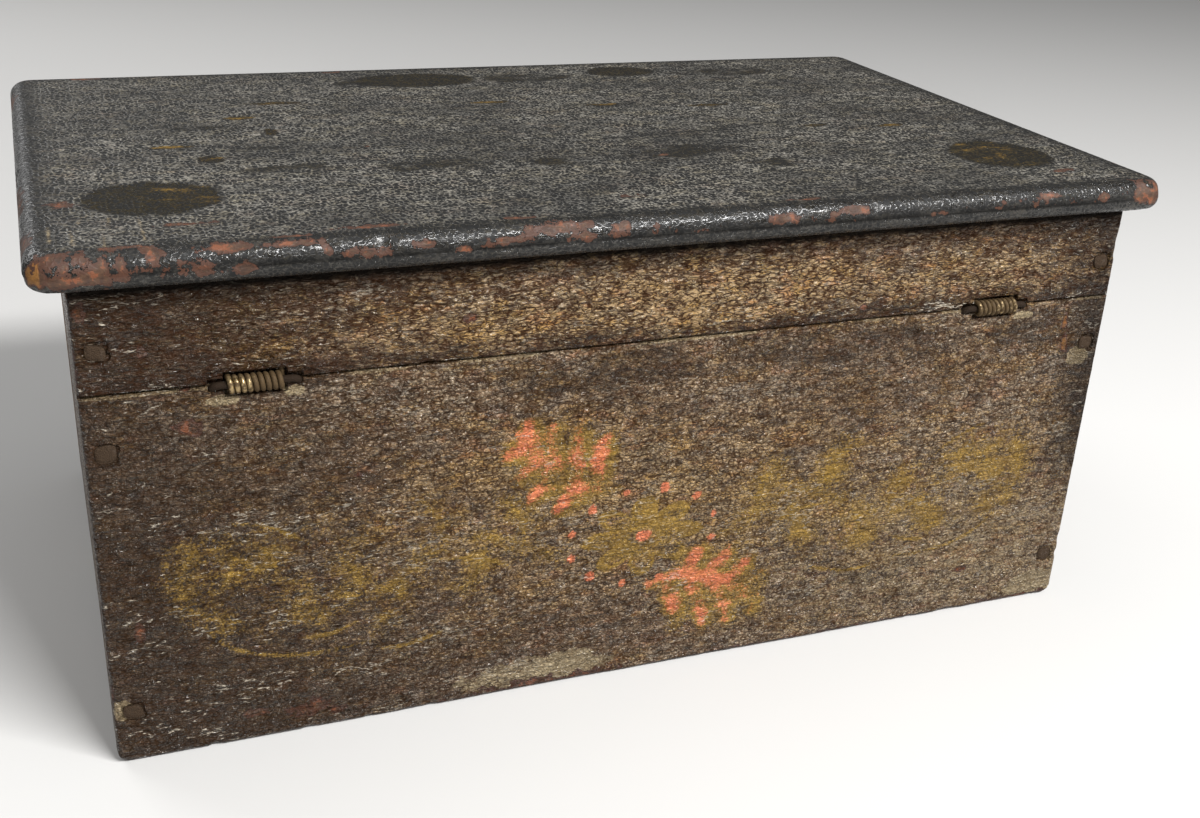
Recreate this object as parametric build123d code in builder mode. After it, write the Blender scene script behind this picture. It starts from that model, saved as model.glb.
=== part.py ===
from build123d import *

import os
from math import cos, pi, sin

# Painted pine deed box: five nailed boards below, a nailed rim and a bullnosed top board above,
# two wound wire hinges on the back and a warded box lock let into the front.
# Millimetres.  The origin is on the ground under the middle of the box, +Z is up.
# The lock is on the -Y side and the hinges are on the +Y side; left is -X, right is +X.

# ---------------------------------------------------------------- driving dimensions
# boards
body_width = 457.0
body_depth = 275.0
body_height = 162.0
rim_height = 43.0
wall = 16.0
bottom_thickness = 12.0
top_thickness = 14.0
end_overhang = 13.0
front_overhang = 11.0
seam_gap = 0.3

# worn edges
nosing_radius = 7.0
nosing_flat = 2.0
top_corner_extra = 4.0
upright_radius = 2.0
seam_arris = 0.8
foot_arris = 1.5

# cut nails: stout ones at the corners, fine ones through the top and into the bottom
corner_nail_length = 42.0
corner_nail_head = 8.6
corner_nail_width = 3.4
corner_nail_thickness = 2.6
fine_nail_length = 36.0
fine_nail_head = 5.6
fine_nail_width = 2.6
fine_nail_thickness = 2.0
nail_point_width = 1.0
nail_head_height = 1.3
nail_head_bevel = 1.0
nail_set = 0.3
nail_dent_margin = 0.5
nail_ease = 0.03
low_nail_height = 24.0
high_nail_height = 139.0
rim_nail_rise = 17.0
bottom_nail_count = 3
bottom_nail_spacing = 80.0
top_nail_count = 4
top_nail_end_inset = 42.0
top_end_nail_count = 2
top_end_nail_spacing = 110.0

# wound wire hinges
hinge_inset = 63.5
hinge_pin_diameter = 3.1
hinge_wire_diameter = 2.1
hinge_running_fit = 0.08
hinge_turn_gap = 0.2
hinge_turns = 8
hinge_turn_sides = 12
wire_sides = 8
hinge_recess_gap = 0.5
hinge_tail_length = 11.0
hinge_tail_ease = 0.04
pin_stub_length = 4.5
pin_leg_length = 13.0
pin_bend_radius = 2.6
pin_ease = 0.04

# box lock
lock_plate_flange = 9.8
lock_plate_foot = 7.75
lock_plate_thickness = 1.6
lock_plate_corner = 2.0
selvedge_depth = 11.0
selvedge_thickness = 2.0
case_inner_width = 60.0
case_inner_depth = 7.4
case_sheet = 1.2
pocket_gap = 0.3
bolt_height = 8.0
bolt_drop = 2.6
bolt_side_gap = 0.3
bolt_tail_gap = 1.5
bolt_travel = 10.0
bolt_shoulder_gap = 0.3
bolt_nose_gap = 1.8
bolt_nose_height = 5.0
bolt_nose_thickness = 2.8
bolt_nose_bevel = 0.5
talon_width = 8.0
talon_depth = 3.0
stump_diameter = 3.0
stump_slot_gap = 0.2
stump_slot_wall = 2.5
bolt_spring_thickness = 0.5
bolt_spring_width = 5.0
bolt_spring_span = 18.0
bolt_spring_foot = 3.0
bolt_spring_gap = 0.4
bolt_spring_bow_share = 0.6
key_clearance = 3.0
key_foot_gap = 3.0
key_pin_diameter = 2.0
key_pin_end_gap = 0.8
ward_radius = 5.0
ward_thickness = 0.9
ward_height = 2.2
ward_angle = 220.0
keyhole_diameter = 4.0
keyhole_slot_width = 2.2
keyhole_slot_length = 8.0

# link plate on the lid, whose loop drops into the lock
strike_plate_width = 60.0
strike_plate_depth = 11.0
strike_plate_thickness = 2.0
loop_offset = 15.8
loop_thickness = 3.0
loop_side = 1.2
loop_foot = 1.8
loop_hole_gap = 0.35
loop_slot_gap = 0.6

# wood screws
screw_head_diameter = 5.6
screw_head_height = 1.5
screw_shank_diameter = 2.8
screw_length = 10.0
screw_slot_width = 0.8
screw_slot_depth = 0.5
screw_ease = 0.03
screw_edge_inset = 4.4
screw_sides = 8

# ---------------------------------------------------------------- places worked out from them
inner_width = body_width - 2 * wall
inner_depth = body_depth - 2 * wall
rim_bottom = body_height + seam_gap
rim_top = rim_bottom + rim_height
lid_top = rim_top + top_thickness
back_face = body_depth / 2
front_face = -back_face
front_inside = front_face + wall
right_face = body_width / 2
corner_nail_x = right_face - wall / 2
nail_dent_depth = nail_head_height + nail_set
nosing_under_radius = top_thickness - nosing_radius - nosing_flat
top_corner_radius = nosing_radius + top_corner_extra

hinge_wire_radius = hinge_wire_diameter / 2
hinge_pin_radius = hinge_pin_diameter / 2
coil_radius = hinge_pin_radius + hinge_running_fit + hinge_wire_radius
hinge_pitch = hinge_wire_diameter + hinge_turn_gap
coil_length = (hinge_turns + 0.75) * hinge_pitch
hinge_x = right_face - hinge_inset
hinge_z = body_height + seam_gap / 2
coil_recess = coil_radius + hinge_wire_radius + hinge_recess_gap
coil_recess_length = coil_length + hinge_wire_diameter + 2 * hinge_recess_gap
pin_recess = hinge_pin_radius + hinge_recess_gap
pin_half_span = coil_recess_length / 2 + pin_stub_length

selvedge_under = body_height - selvedge_thickness
plate_outside = front_inside - lock_plate_thickness
mechanism_y = plate_outside - case_inner_depth / 2
lock_depth = lock_plate_thickness + case_inner_depth + case_sheet
bolt_top = selvedge_under - bolt_drop
bolt_z = bolt_top - bolt_height / 2
bolt_thickness = case_inner_depth - 2 * bolt_side_gap
bolt_tail_x = bolt_tail_gap - case_inner_width / 2
bolt_shoulder_x = loop_offset - loop_thickness / 2 - bolt_travel - bolt_shoulder_gap
bolt_nose_length = bolt_travel + bolt_shoulder_gap - bolt_nose_gap
stump_slot_width = stump_diameter + 2 * stump_slot_gap
stump_x = bolt_tail_x + stump_slot_wall + stump_slot_width / 2 + bolt_travel
key_z = bolt_top - bolt_height - key_clearance - ward_radius - ward_thickness / 2
case_floor = key_z - keyhole_slot_length - key_foot_gap
case_bottom = case_floor - case_sheet
case_width = case_inner_width + 2 * case_sheet
lock_plate_width = case_width + 2 * lock_plate_flange
lock_plate_bottom = case_bottom - lock_plate_foot
loop_hole_height = bolt_nose_height + 2 * loop_hole_gap
loop_hole_width = bolt_nose_thickness + 2 * loop_hole_gap
loop_width = loop_hole_width + 2 * loop_side
loop_bottom = bolt_z - loop_hole_height / 2 - loop_foot

os.makedirs("parts", exist_ok=True)


def keep(builder, label):
    """Label a finished sub-part and write it to its own STEP file."""
    builder.part.label = label
    export_step(builder.part, f"parts/{label}.step")


def row(count, spacing):
    """Centred positions of a row of evenly spaced things."""
    return [(index - (count - 1) / 2) * spacing for index in range(count)]


def facing(point, outward, along):
    """A place whose Z leaves the surface at a point, with X along a given direction."""
    return Plane(origin=point, x_dir=along, z_dir=outward).location


# ---------------------------------------------------------------- nails and screws, point down
def shank(width, thickness, length, ease=0.0):
    """Shank of a cut nail, tapered in its width only, from under its head down to its point."""
    half = width / 2 + ease
    half_point = nail_point_width / 2 + ease
    with BuildPart() as form:
        with BuildSketch(Plane.XZ):
            with BuildLine():
                Polyline(
                    (-half, -nail_dent_depth),
                    (half, -nail_dent_depth),
                    (half_point, -length - ease),
                    (-half_point, -length - ease),
                    close=True,
                )
            make_face()
        extrude(amount=thickness / 2 + ease, both=True)
    return form.part


def cut_nail(width, thickness, length, head):
    """Cut nail with a square bevelled head, set a little below the face at Z 0."""
    with BuildPart() as form:
        add(shank(width, thickness, length))
        with BuildSketch(Plane.XY.offset(-nail_dent_depth)):
            Rectangle(head, head)
        extrude(amount=nail_head_height)
        chamfer(form.faces().sort_by(Axis.Z)[-1].edges(), nail_head_bevel)
    return form.part


def nail_hole(width, thickness, length, head):
    """The hole that a cut nail leaves: its tapered shank and the dent round its head."""
    with BuildPart() as form:
        add(shank(width, thickness, length, nail_ease))
        with BuildSketch(Plane.XY.offset(-nail_dent_depth)):
            Rectangle(head + 2 * nail_dent_margin, head + 2 * nail_dent_margin)
        extrude(amount=2 * nail_dent_depth)
    return form.part


def wood_screw(ease=0.0, slotted=True):
    """Countersunk wood screw with its head flush at Z 0; its round parts have a few flats."""
    head_radius = screw_head_diameter / 2 + ease
    shank_radius = screw_shank_diameter / 2 + ease
    with BuildPart() as form:
        with BuildSketch(Plane.XY):
            RegularPolygon(head_radius, screw_sides)
        extrude(amount=-screw_head_height)
        chamfer(form.faces().sort_by(Axis.Z)[0].edges(), head_radius - shank_radius)
        with BuildSketch(Plane.XY):
            RegularPolygon(shank_radius, screw_sides)
        extrude(amount=-screw_length - ease)
        if slotted:
            with BuildSketch(Plane.XY):
                Rectangle(2 * screw_head_diameter, screw_slot_width)
            extrude(amount=-screw_slot_depth, mode=Mode.SUBTRACT)
    return form.part


corner_nail_size = (
    corner_nail_width,
    corner_nail_thickness,
    corner_nail_length,
    corner_nail_head,
)
fine_nail_size = (fine_nail_width, fine_nail_thickness, fine_nail_length, fine_nail_head)
corner_nail = cut_nail(*corner_nail_size)
corner_nail_hole = nail_hole(*corner_nail_size)
fine_nail = cut_nail(*fine_nail_size)
fine_nail_hole = nail_hole(*fine_nail_size)
screw = wood_screw()
screw_hole = wood_screw(screw_ease, slotted=False)

body_nail_places = [
    facing((side * corner_nail_x, face, height), (0, face, 0), (1, 0, 0))
    for face in (front_face, back_face)
    for side in (-1, 1)
    for height in (low_nail_height, high_nail_height)
]
rim_nail_places = [
    facing((side * corner_nail_x, face, rim_bottom + rim_nail_rise), (0, face, 0), (1, 0, 0))
    for face in (front_face, back_face)
    for side in (-1, 1)
]
bottom_nail_places = [
    facing((side * right_face, y, bottom_thickness / 2), (side, 0, 0), (0, 1, 0))
    for side in (-1, 1)
    for y in row(bottom_nail_count, bottom_nail_spacing)
]
top_nail_spacing = (inner_width - 2 * top_nail_end_inset) / (top_nail_count - 1)
top_nail_points = [
    (x, side * (back_face - wall / 2))
    for side in (-1, 1)
    for x in row(top_nail_count, top_nail_spacing)
] + [
    (side * corner_nail_x, y)
    for side in (-1, 1)
    for y in row(top_end_nail_count, top_end_nail_spacing)
]
top_nail_places = [Location((x, y, lid_top)) for x, y in top_nail_points]
lock_screw_places = [
    facing((side * (lock_plate_width / 2 - screw_edge_inset), front_inside, height), (0, 1, 0), (1, 0, 0))
    for side in (-1, 1)
    for height in (selvedge_under - screw_edge_inset, lock_plate_bottom + screw_edge_inset)
]
strike_screw_places = [
    facing((x, mechanism_y, rim_bottom), (0, 0, -1), (1, 0, 0))
    for x in row(2, strike_plate_width - 2 * screw_edge_inset)
]


# ---------------------------------------------------------------- hinge wires, each in its own frame
def bent_pin(ease=0.0):
    """Round wire lying straight along X, with both ends turned towards +Y."""
    with BuildPart() as form:
        with BuildLine() as path:
            FilletPolyline(
                (-pin_half_span, pin_leg_length + ease),
                (-pin_half_span, 0),
                (pin_half_span, 0),
                (pin_half_span, pin_leg_length + ease),
                radius=pin_bend_radius,
            )
        with BuildSketch(Plane(origin=path.line @ 0, z_dir=path.line % 0)):
            RegularPolygon(hinge_pin_radius + ease, wire_sides)
        sweep(path=path.line)
    return form.part


def coil_point(step):
    """Corner of the winding about Z; its straight spans touch the coil's true radius."""
    turned = 2 * pi * step / hinge_turn_sides
    reach = coil_radius / cos(pi / hinge_turn_sides)
    along = hinge_pitch * step / hinge_turn_sides - coil_length / 2
    return (reach * cos(turned), reach * sin(turned), along)


coil_steps = round((hinge_turns + 0.75) * hinge_turn_sides)
coil_start = Vector(coil_point(0))
coil_end = Vector(coil_point(coil_steps))
# each tail as its root on the coil and its free end: the first turns up, the last into the wood
coil_tails = (
    (coil_start, coil_start - Vector(0, hinge_tail_length, 0)),
    (coil_end, coil_end + Vector(hinge_tail_length, 0, 0)),
)


def coiled_wire():
    """Wire wound round the pin turn by turn, with both of its ends led straight away."""
    turns = [coil_point(step) for step in range(coil_steps + 1)]
    with BuildPart() as form:
        with BuildLine() as path:
            Polyline(coil_tails[0][1], *turns, coil_tails[1][1])
        with BuildSketch(Plane(origin=path.line @ 0, z_dir=path.line % 0)):
            RegularPolygon(hinge_wire_radius, wire_sides)
        sweep(path=path.line, transition=Transition.RIGHT)
    return form.part


def tail_holes():
    """Round holes for the two tails of one coil."""
    with BuildPart() as form:
        for root, tip in coil_tails:
            with BuildSketch(Plane(origin=root, z_dir=tip - root)):
                Circle(hinge_wire_radius + hinge_tail_ease)
            extrude(amount=hinge_tail_length + hinge_tail_ease)
    return form.part


def hinge_recess():
    """Room for one coil, and for the pin beyond it, cut from both boards along the seam."""
    with BuildPart() as form:
        Box(coil_recess_length, 2 * coil_recess, 2 * coil_recess)
        Box(2 * (pin_half_span + hinge_pin_radius), 2 * pin_recess, 2 * pin_recess)
    return form.part


coil_form = coiled_wire()
tail_hole_form = tail_holes()
pin_form = bent_pin()
pin_hole = bent_pin(pin_ease)
recess_form = hinge_recess()
hinge_centres = [(side * hinge_x, back_face, hinge_z) for side in (-1, 1)]
recess_places = [Location(centre) for centre in hinge_centres]
# pin: X along the seam, Y down and into the board at 45 degrees
pin_places = [Plane(origin=centre, x_dir=(1, 0, 0), z_dir=(0, 1, -1)).location for centre in hinge_centres]
# coil: Z along the seam, X straight into the wood, Y down
coil_places = [Plane(origin=centre, x_dir=(0, -1, 0), z_dir=(1, 0, 0)).location for centre in hinge_centres]


# ---------------------------------------------------------------- lock forms
def upright_block(width, low, high, depth):
    """Rectangular block on the middle of the front board's inner face, cut out towards -Y."""
    with BuildPart() as form:
        with BuildSketch(Plane.XZ.offset(-front_inside)):
            with Locations((0, (low + high) / 2)):
                Rectangle(width, high - low)
        extrude(amount=depth)
    return form.part


def lock_pocket():
    """Room in the front board for the lock plate, its selvedge and the case behind it."""
    with BuildPart() as form:
        add(upright_block(lock_plate_width, lock_plate_bottom, body_height, lock_plate_thickness))
        add(upright_block(lock_plate_width, selvedge_under, body_height, selvedge_depth))
        add(
            upright_block(
                case_width + 2 * pocket_gap,
                case_bottom - pocket_gap,
                selvedge_under,
                lock_depth + pocket_gap,
            )
        )
    return form.part


def keyhole(outside, depth):
    """Round-topped keyhole with its slot below, cut along Y."""
    with BuildPart() as form:
        with BuildSketch(Plane.XZ.offset(-outside)):
            with Locations((0, key_z)):
                Circle(keyhole_diameter / 2)
            with Locations((0, key_z - keyhole_slot_length / 2)):
                Rectangle(keyhole_slot_width, keyhole_slot_length)
        extrude(amount=-depth)
    return form.part


# ---------------------------------------------------------------- boards
def long_board(outside, base, height, low_arris):
    """Front or back board with its outer face at Y outside and its outer arrises eased."""
    inside = outside - wall if outside > 0 else outside + wall
    with BuildPart() as form:
        with BuildSketch(Plane.XZ.offset(-max(inside, outside))):
            with Locations((0, base + height / 2)):
                Rectangle(body_width, height)
        extrude(amount=wall)
        outer = form.faces().sort_by_distance((0, 2 * outside, base + height / 2))[0]
        fillet(outer.edges().filter_by(Axis.Z), upright_radius)
        chamfer(outer_edge(form, Axis.Y, outside, Axis.X, 0), low_arris)
    return form.part


def end_board(outside, base, height, low_arris):
    """Left or right board between the long ones, with its outer face at X outside."""
    middle = outside - wall / 2 if outside > 0 else outside + wall / 2
    with BuildPart() as form:
        with BuildSketch(Plane.XY.offset(base)):
            with Locations((middle, 0)):
                Rectangle(wall, inner_depth)
        extrude(amount=height)
        chamfer(outer_edge(form, Axis.X, outside, Axis.Y, 0), low_arris)
    return form.part


def outer_edge(builder, normal, outside, along, which):
    """A level edge of a board's outer face: 0 is the lowest, -1 the highest."""
    face_edges = builder.edges().filter_by_position(normal, outside - 0.01, outside + 0.01)
    return face_edges.filter_by(along).sort_by(Axis.Z)[which]


# ---- body
with BuildPart() as back_board:
    add(long_board(back_face, 0, body_height, foot_arris))
    chamfer(outer_edge(back_board, Axis.Y, back_face, Axis.X, -1), seam_arris)
    with Locations(*body_nail_places):
        add(corner_nail_hole, mode=Mode.SUBTRACT)
    with Locations(*recess_places):
        add(recess_form, mode=Mode.SUBTRACT)
    with Locations(*pin_places):
        add(pin_hole, mode=Mode.SUBTRACT)
keep(back_board, "back_board")

with BuildPart() as front_board:
    add(long_board(front_face, 0, body_height, foot_arris))
    chamfer(outer_edge(front_board, Axis.Y, front_face, Axis.X, -1), seam_arris)
    with Locations(*body_nail_places):
        add(corner_nail_hole, mode=Mode.SUBTRACT)
    add(lock_pocket(), mode=Mode.SUBTRACT)
    add(keyhole(front_face, wall), mode=Mode.SUBTRACT)
    with Locations(*lock_screw_places):
        add(screw_hole, mode=Mode.SUBTRACT)
keep(front_board, "front_board")

for name, outside in (("left_end_board", -right_face), ("right_end_board", right_face)):
    with BuildPart() as end_wall:
        add(end_board(outside, 0, body_height, foot_arris))
        chamfer(outer_edge(end_wall, Axis.X, outside, Axis.Y, -1), seam_arris)
        with Locations(*body_nail_places):
            add(corner_nail_hole, mode=Mode.SUBTRACT)
        with Locations(*bottom_nail_places):
            add(fine_nail_hole, mode=Mode.SUBTRACT)
    keep(end_wall, name)

with BuildPart() as bottom_board:
    with BuildSketch(Plane.XY):
        Rectangle(inner_width, inner_depth)
    extrude(amount=bottom_thickness)
    with Locations(*bottom_nail_places):
        add(fine_nail_hole, mode=Mode.SUBTRACT)
keep(bottom_board, "bottom_board")

with BuildPart() as body_corner_nails:
    with Locations(*body_nail_places):
        add(corner_nail)
keep(body_corner_nails, "body_corner_nails")

with BuildPart() as bottom_nails:
    with Locations(*bottom_nail_places):
        add(fine_nail)
keep(bottom_nails, "bottom_nails")

# ---- lid
with BuildPart() as lid_top_board:
    with BuildSketch(Plane.XY.offset(rim_top)):
        RectangleRounded(
            body_width + 2 * end_overhang,
            body_depth + 2 * front_overhang,
            top_corner_radius,
        )
    extrude(amount=top_thickness)
    fillet(lid_top_board.edges().group_by(Axis.Z)[-1], nosing_radius)
    fillet(lid_top_board.edges().group_by(Axis.Z)[0], nosing_under_radius)
    with Locations(*top_nail_places):
        add(fine_nail_hole, mode=Mode.SUBTRACT)
keep(lid_top_board, "lid_top_board")

with BuildPart() as lid_back_rail:
    add(long_board(back_face, rim_bottom, rim_height, seam_arris))
    with Locations(*rim_nail_places):
        add(corner_nail_hole, mode=Mode.SUBTRACT)
    with Locations(*top_nail_places):
        add(fine_nail_hole, mode=Mode.SUBTRACT)
    with Locations(*recess_places):
        add(recess_form, mode=Mode.SUBTRACT)
    with Locations(*coil_places):
        add(tail_hole_form, mode=Mode.SUBTRACT)
keep(lid_back_rail, "lid_back_rail")

with BuildPart() as lid_front_rail:
    add(long_board(front_face, rim_bottom, rim_height, seam_arris))
    with Locations(*rim_nail_places):
        add(corner_nail_hole, mode=Mode.SUBTRACT)
    with Locations(*top_nail_places):
        add(fine_nail_hole, mode=Mode.SUBTRACT)
    with BuildSketch(Plane.XY.offset(rim_bottom)):
        with Locations((0, front_inside - strike_plate_depth / 2)):
            Rectangle(strike_plate_width, strike_plate_depth)
    extrude(amount=strike_plate_thickness, mode=Mode.SUBTRACT)
    with Locations(*strike_screw_places):
        add(screw_hole, mode=Mode.SUBTRACT)
keep(lid_front_rail, "lid_front_rail")

for name, outside in (("lid_left_rail", -right_face), ("lid_right_rail", right_face)):
    with BuildPart() as end_rail:
        add(end_board(outside, rim_bottom, rim_height, seam_arris))
        with Locations(*rim_nail_places):
            add(corner_nail_hole, mode=Mode.SUBTRACT)
        with Locations(*top_nail_places):
            add(fine_nail_hole, mode=Mode.SUBTRACT)
    keep(end_rail, name)

with BuildPart() as lid_corner_nails:
    with Locations(*rim_nail_places):
        add(corner_nail)
keep(lid_corner_nails, "lid_corner_nails")

with BuildPart() as lid_top_nails:
    with Locations(*top_nail_places):
        add(fine_nail)
keep(lid_top_nails, "lid_top_nails")

# ---- hinges: the pins are driven into the body, the coils into the lid
with BuildPart() as hinge_pins:
    with Locations(*pin_places):
        add(pin_form)
keep(hinge_pins, "hinge_pins")

with BuildPart() as hinge_coils:
    with Locations(*coil_places):
        add(coil_form)
keep(hinge_coils, "hinge_coils")

# ---- box lock, from the inside of the front board outwards
with BuildPart() as lock_plate:
    with BuildSketch(Plane.XZ.offset(-front_inside)) as plate_face:
        with Locations((0, (body_height + lock_plate_bottom) / 2)):
            Rectangle(lock_plate_width, body_height - lock_plate_bottom)
        chamfer(plate_face.vertices().group_by(Axis.Y)[0], lock_plate_corner)
    extrude(amount=lock_plate_thickness)
    with BuildSketch(Plane.XY.offset(selvedge_under)):
        with Locations((0, front_inside - selvedge_depth / 2)):
            Rectangle(lock_plate_width, selvedge_depth)
        with Locations((loop_offset, mechanism_y)):
            Rectangle(
                loop_thickness + 2 * loop_slot_gap,
                loop_width + 2 * loop_slot_gap,
                mode=Mode.SUBTRACT,
            )
    extrude(amount=selvedge_thickness)
    with Locations(*lock_screw_places):
        add(screw_hole, mode=Mode.SUBTRACT)
keep(lock_plate, "lock_plate")

with BuildPart() as lock_case:
    with BuildSketch(Plane.XZ.offset(-plate_outside)):
        with Locations((0, (selvedge_under + case_bottom) / 2)):
            Rectangle(case_width, selvedge_under - case_bottom)
    extrude(amount=case_inner_depth + case_sheet)
    with BuildSketch(Plane.XZ.offset(-plate_outside)):
        with Locations((0, (selvedge_under + case_floor) / 2)):
            Rectangle(case_inner_width, selvedge_under - case_floor)
    extrude(amount=case_inner_depth, mode=Mode.SUBTRACT)
    add(keyhole(front_face, wall), mode=Mode.SUBTRACT)
keep(lock_case, "lock_case")

with BuildPart() as lock_key_pin:
    with BuildSketch(Plane.XZ.offset(-plate_outside)):
        with Locations((0, key_z)):
            Circle(key_pin_diameter / 2)
    extrude(amount=case_inner_depth - key_pin_end_gap)
keep(lock_key_pin, "lock_key_pin")

with BuildPart() as lock_ward:
    with BuildSketch(Plane.XZ.offset(-plate_outside)):
        with BuildLine():
            ward_start = 90 - ward_angle / 2
            outer_arc = CenterArc(
                (0, key_z), ward_radius + ward_thickness / 2, ward_start, ward_angle
            )
            inner_arc = CenterArc(
                (0, key_z), ward_radius - ward_thickness / 2, ward_start, ward_angle
            )
            Line(outer_arc @ 0, inner_arc @ 0)
            Line(outer_arc @ 1, inner_arc @ 1)
        make_face()
    extrude(amount=ward_height)
keep(lock_ward, "lock_ward")

with BuildPart() as lock_stump:
    with BuildSketch(Plane.XZ.offset(-plate_outside)):
        with Locations((stump_x, bolt_z)):
            Circle(stump_diameter / 2)
    extrude(amount=case_inner_depth)
keep(lock_stump, "lock_stump")

with BuildPart() as lock_screws:
    with Locations(*lock_screw_places):
        add(screw)
keep(lock_screws, "lock_screws")

# ---- sliding bolt, drawn back so that its nose is clear of the loop
with BuildPart() as lock_bolt:
    with BuildSketch(Plane.XZ.offset(-(mechanism_y + bolt_thickness / 2))):
        with Locations(((bolt_tail_x + bolt_shoulder_x) / 2, bolt_z)):
            Rectangle(bolt_shoulder_x - bolt_tail_x, bolt_height)
        with Locations((-bolt_travel / 2, bolt_top - bolt_height + talon_depth / 2)):
            Rectangle(talon_width, talon_depth, mode=Mode.SUBTRACT)
        with Locations((stump_x - bolt_travel / 2, bolt_z)):
            SlotCenterToCenter(bolt_travel, stump_slot_width, mode=Mode.SUBTRACT)
    extrude(amount=bolt_thickness)
    with BuildSketch(Plane.YZ.offset(bolt_shoulder_x)):
        with Locations((mechanism_y, bolt_z)):
            Rectangle(bolt_nose_thickness, bolt_nose_height)
    extrude(amount=bolt_nose_length)
    chamfer(lock_bolt.faces().sort_by(Axis.X)[-1].edges(), bolt_nose_bevel)
keep(lock_bolt, "lock_bolt")


def spring_edge(level, foot_end, tip):
    """One edge of the leaf spring: its flat foot on the bolt, then a bow up to its tip."""
    rise = bolt_drop - bolt_spring_gap - bolt_spring_thickness
    middle = ((foot_end + tip) / 2, level + bolt_spring_bow_share * rise)
    foot = Line((bolt_tail_x, level), (foot_end, level))
    bow = ThreePointArc(foot @ 1, middle, (tip, level + rise))
    return foot @ 0, bow @ 1


with BuildPart() as lock_bolt_spring:
    with BuildSketch(Plane.XZ.offset(-(mechanism_y + bolt_spring_width / 2))):
        with BuildLine():
            foot_end = bolt_tail_x + bolt_spring_foot
            tip = foot_end + bolt_spring_span
            under = spring_edge(bolt_top, foot_end, tip)
            over = spring_edge(bolt_top + bolt_spring_thickness, foot_end, tip)
            Line(under[0], over[0])
            Line(under[1], over[1])
        make_face()
    extrude(amount=bolt_spring_width)
keep(lock_bolt_spring, "lock_bolt_spring")

# ---- link plate let into the lid, with the loop that the bolt passes through
with BuildPart() as lock_strike:
    with BuildSketch(Plane.XY.offset(rim_bottom)):
        with Locations((0, front_inside - strike_plate_depth / 2)):
            Rectangle(strike_plate_width, strike_plate_depth)
    extrude(amount=strike_plate_thickness)
    with BuildSketch(Plane.YZ.offset(loop_offset - loop_thickness / 2)) as loop_face:
        with Locations((mechanism_y, (rim_bottom + loop_bottom) / 2)):
            Rectangle(loop_width, rim_bottom - loop_bottom)
        fillet(loop_face.vertices().group_by(Axis.Y)[0], loop_side)
        with Locations((mechanism_y, bolt_z)):
            Rectangle(loop_hole_width, loop_hole_height, mode=Mode.SUBTRACT)
    extrude(amount=loop_thickness)
    with Locations(*strike_screw_places):
        add(screw_hole, mode=Mode.SUBTRACT)
keep(lock_strike, "lock_strike")

with BuildPart() as lock_strike_screws:
    with Locations(*strike_screw_places):
        add(screw)
keep(lock_strike_screws, "lock_strike_screws")
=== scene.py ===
import logging
from dataclasses import dataclass, field, replace
from enum import Enum
from typing import Any, Callable, Sequence

import bpy
import numpy as np
from mathutils import Matrix, Vector


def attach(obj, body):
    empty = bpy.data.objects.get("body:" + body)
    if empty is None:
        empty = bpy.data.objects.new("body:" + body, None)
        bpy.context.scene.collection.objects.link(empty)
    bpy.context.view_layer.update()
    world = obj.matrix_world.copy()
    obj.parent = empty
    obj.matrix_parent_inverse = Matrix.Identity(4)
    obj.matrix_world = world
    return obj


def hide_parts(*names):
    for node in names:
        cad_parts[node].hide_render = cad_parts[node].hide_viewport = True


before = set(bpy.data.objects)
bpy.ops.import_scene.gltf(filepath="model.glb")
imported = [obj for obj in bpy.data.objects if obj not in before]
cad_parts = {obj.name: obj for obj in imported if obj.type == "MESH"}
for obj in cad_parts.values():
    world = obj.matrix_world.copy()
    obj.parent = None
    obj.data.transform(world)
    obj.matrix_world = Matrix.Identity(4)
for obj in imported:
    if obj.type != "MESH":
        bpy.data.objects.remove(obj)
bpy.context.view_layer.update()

log = logging.getLogger("deed_box")

# The box as the model has it, in millimetres: +Z up, hinges on the +Y side, lock on the -Y side.
MM = 0.001
BODY_WIDTH, BODY_DEPTH, BODY_HEIGHT = 457.0, 275.0, 162.0
WALL, TOP_THICKNESS, RIM_HEIGHT, SEAM_GAP = 16.0, 14.0, 43.0, 0.3
RIM_BOTTOM = BODY_HEIGHT + SEAM_GAP
RIM_TOP = RIM_BOTTOM + RIM_HEIGHT
LID_TOP = RIM_TOP + TOP_THICKNESS
HALF_WIDTH, HALF_DEPTH = BODY_WIDTH / 2, BODY_DEPTH / 2
HALF_END = HALF_DEPTH - WALL  # half of an end board, which stands between the long ones
END_OVERHANG, FRONT_OVERHANG = 13.0, 11.0
HINGE_X, HINGE_Z = 165.0, BODY_HEIGHT + SEAM_GAP / 2
HINGES_U = (HALF_WIDTH - HINGE_X, HALF_WIDTH + HINGE_X)  # along the hinge side, from its corner
NAIL_INSET = WALL / 2
NAIL_X = HALF_WIDTH - NAIL_INSET
NAILS_U = (NAIL_INSET, BODY_WIDTH - NAIL_INSET)
BODY_NAIL_HEIGHTS = (24.0, 139.0)
RIM_NAIL_HEIGHT = RIM_BOTTOM + 17.0
NAIL_DENT, FINE_NAIL_DENT, NAIL_DENT_DEPTH = 4.3, 3.3, 0.9
FINE = 0.6  # spacing of the lines round nails and hinges
RAGGED = (4.5, 4.5, 3.0)  # lattice of the noise that breaks up painted and chipped outlines

Array = np.ndarray
Masks = dict[str, Array]
Material = bpy.types.Material
Pair = tuple[float, float]
Point = tuple[float, float, float]
Four = tuple[float, float, float, float]
Outline = Callable[[Array, Array], Array]
Spots = Sequence[Sequence[float]]
Mesh = tuple[Array, Array, Array]  # points, faces of four corners, faces of three


# ---- numbers on whole arrays
def smooth(value: Array, low: float, high: float) -> Array:
    """Ramp from 0 at low to 1 at high by the cubic 3t2 - 2t3."""
    t = np.clip((value - low) / (high - low), 0.0, 1.0)
    return t * t * (3.0 - 2.0 * t)


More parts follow.
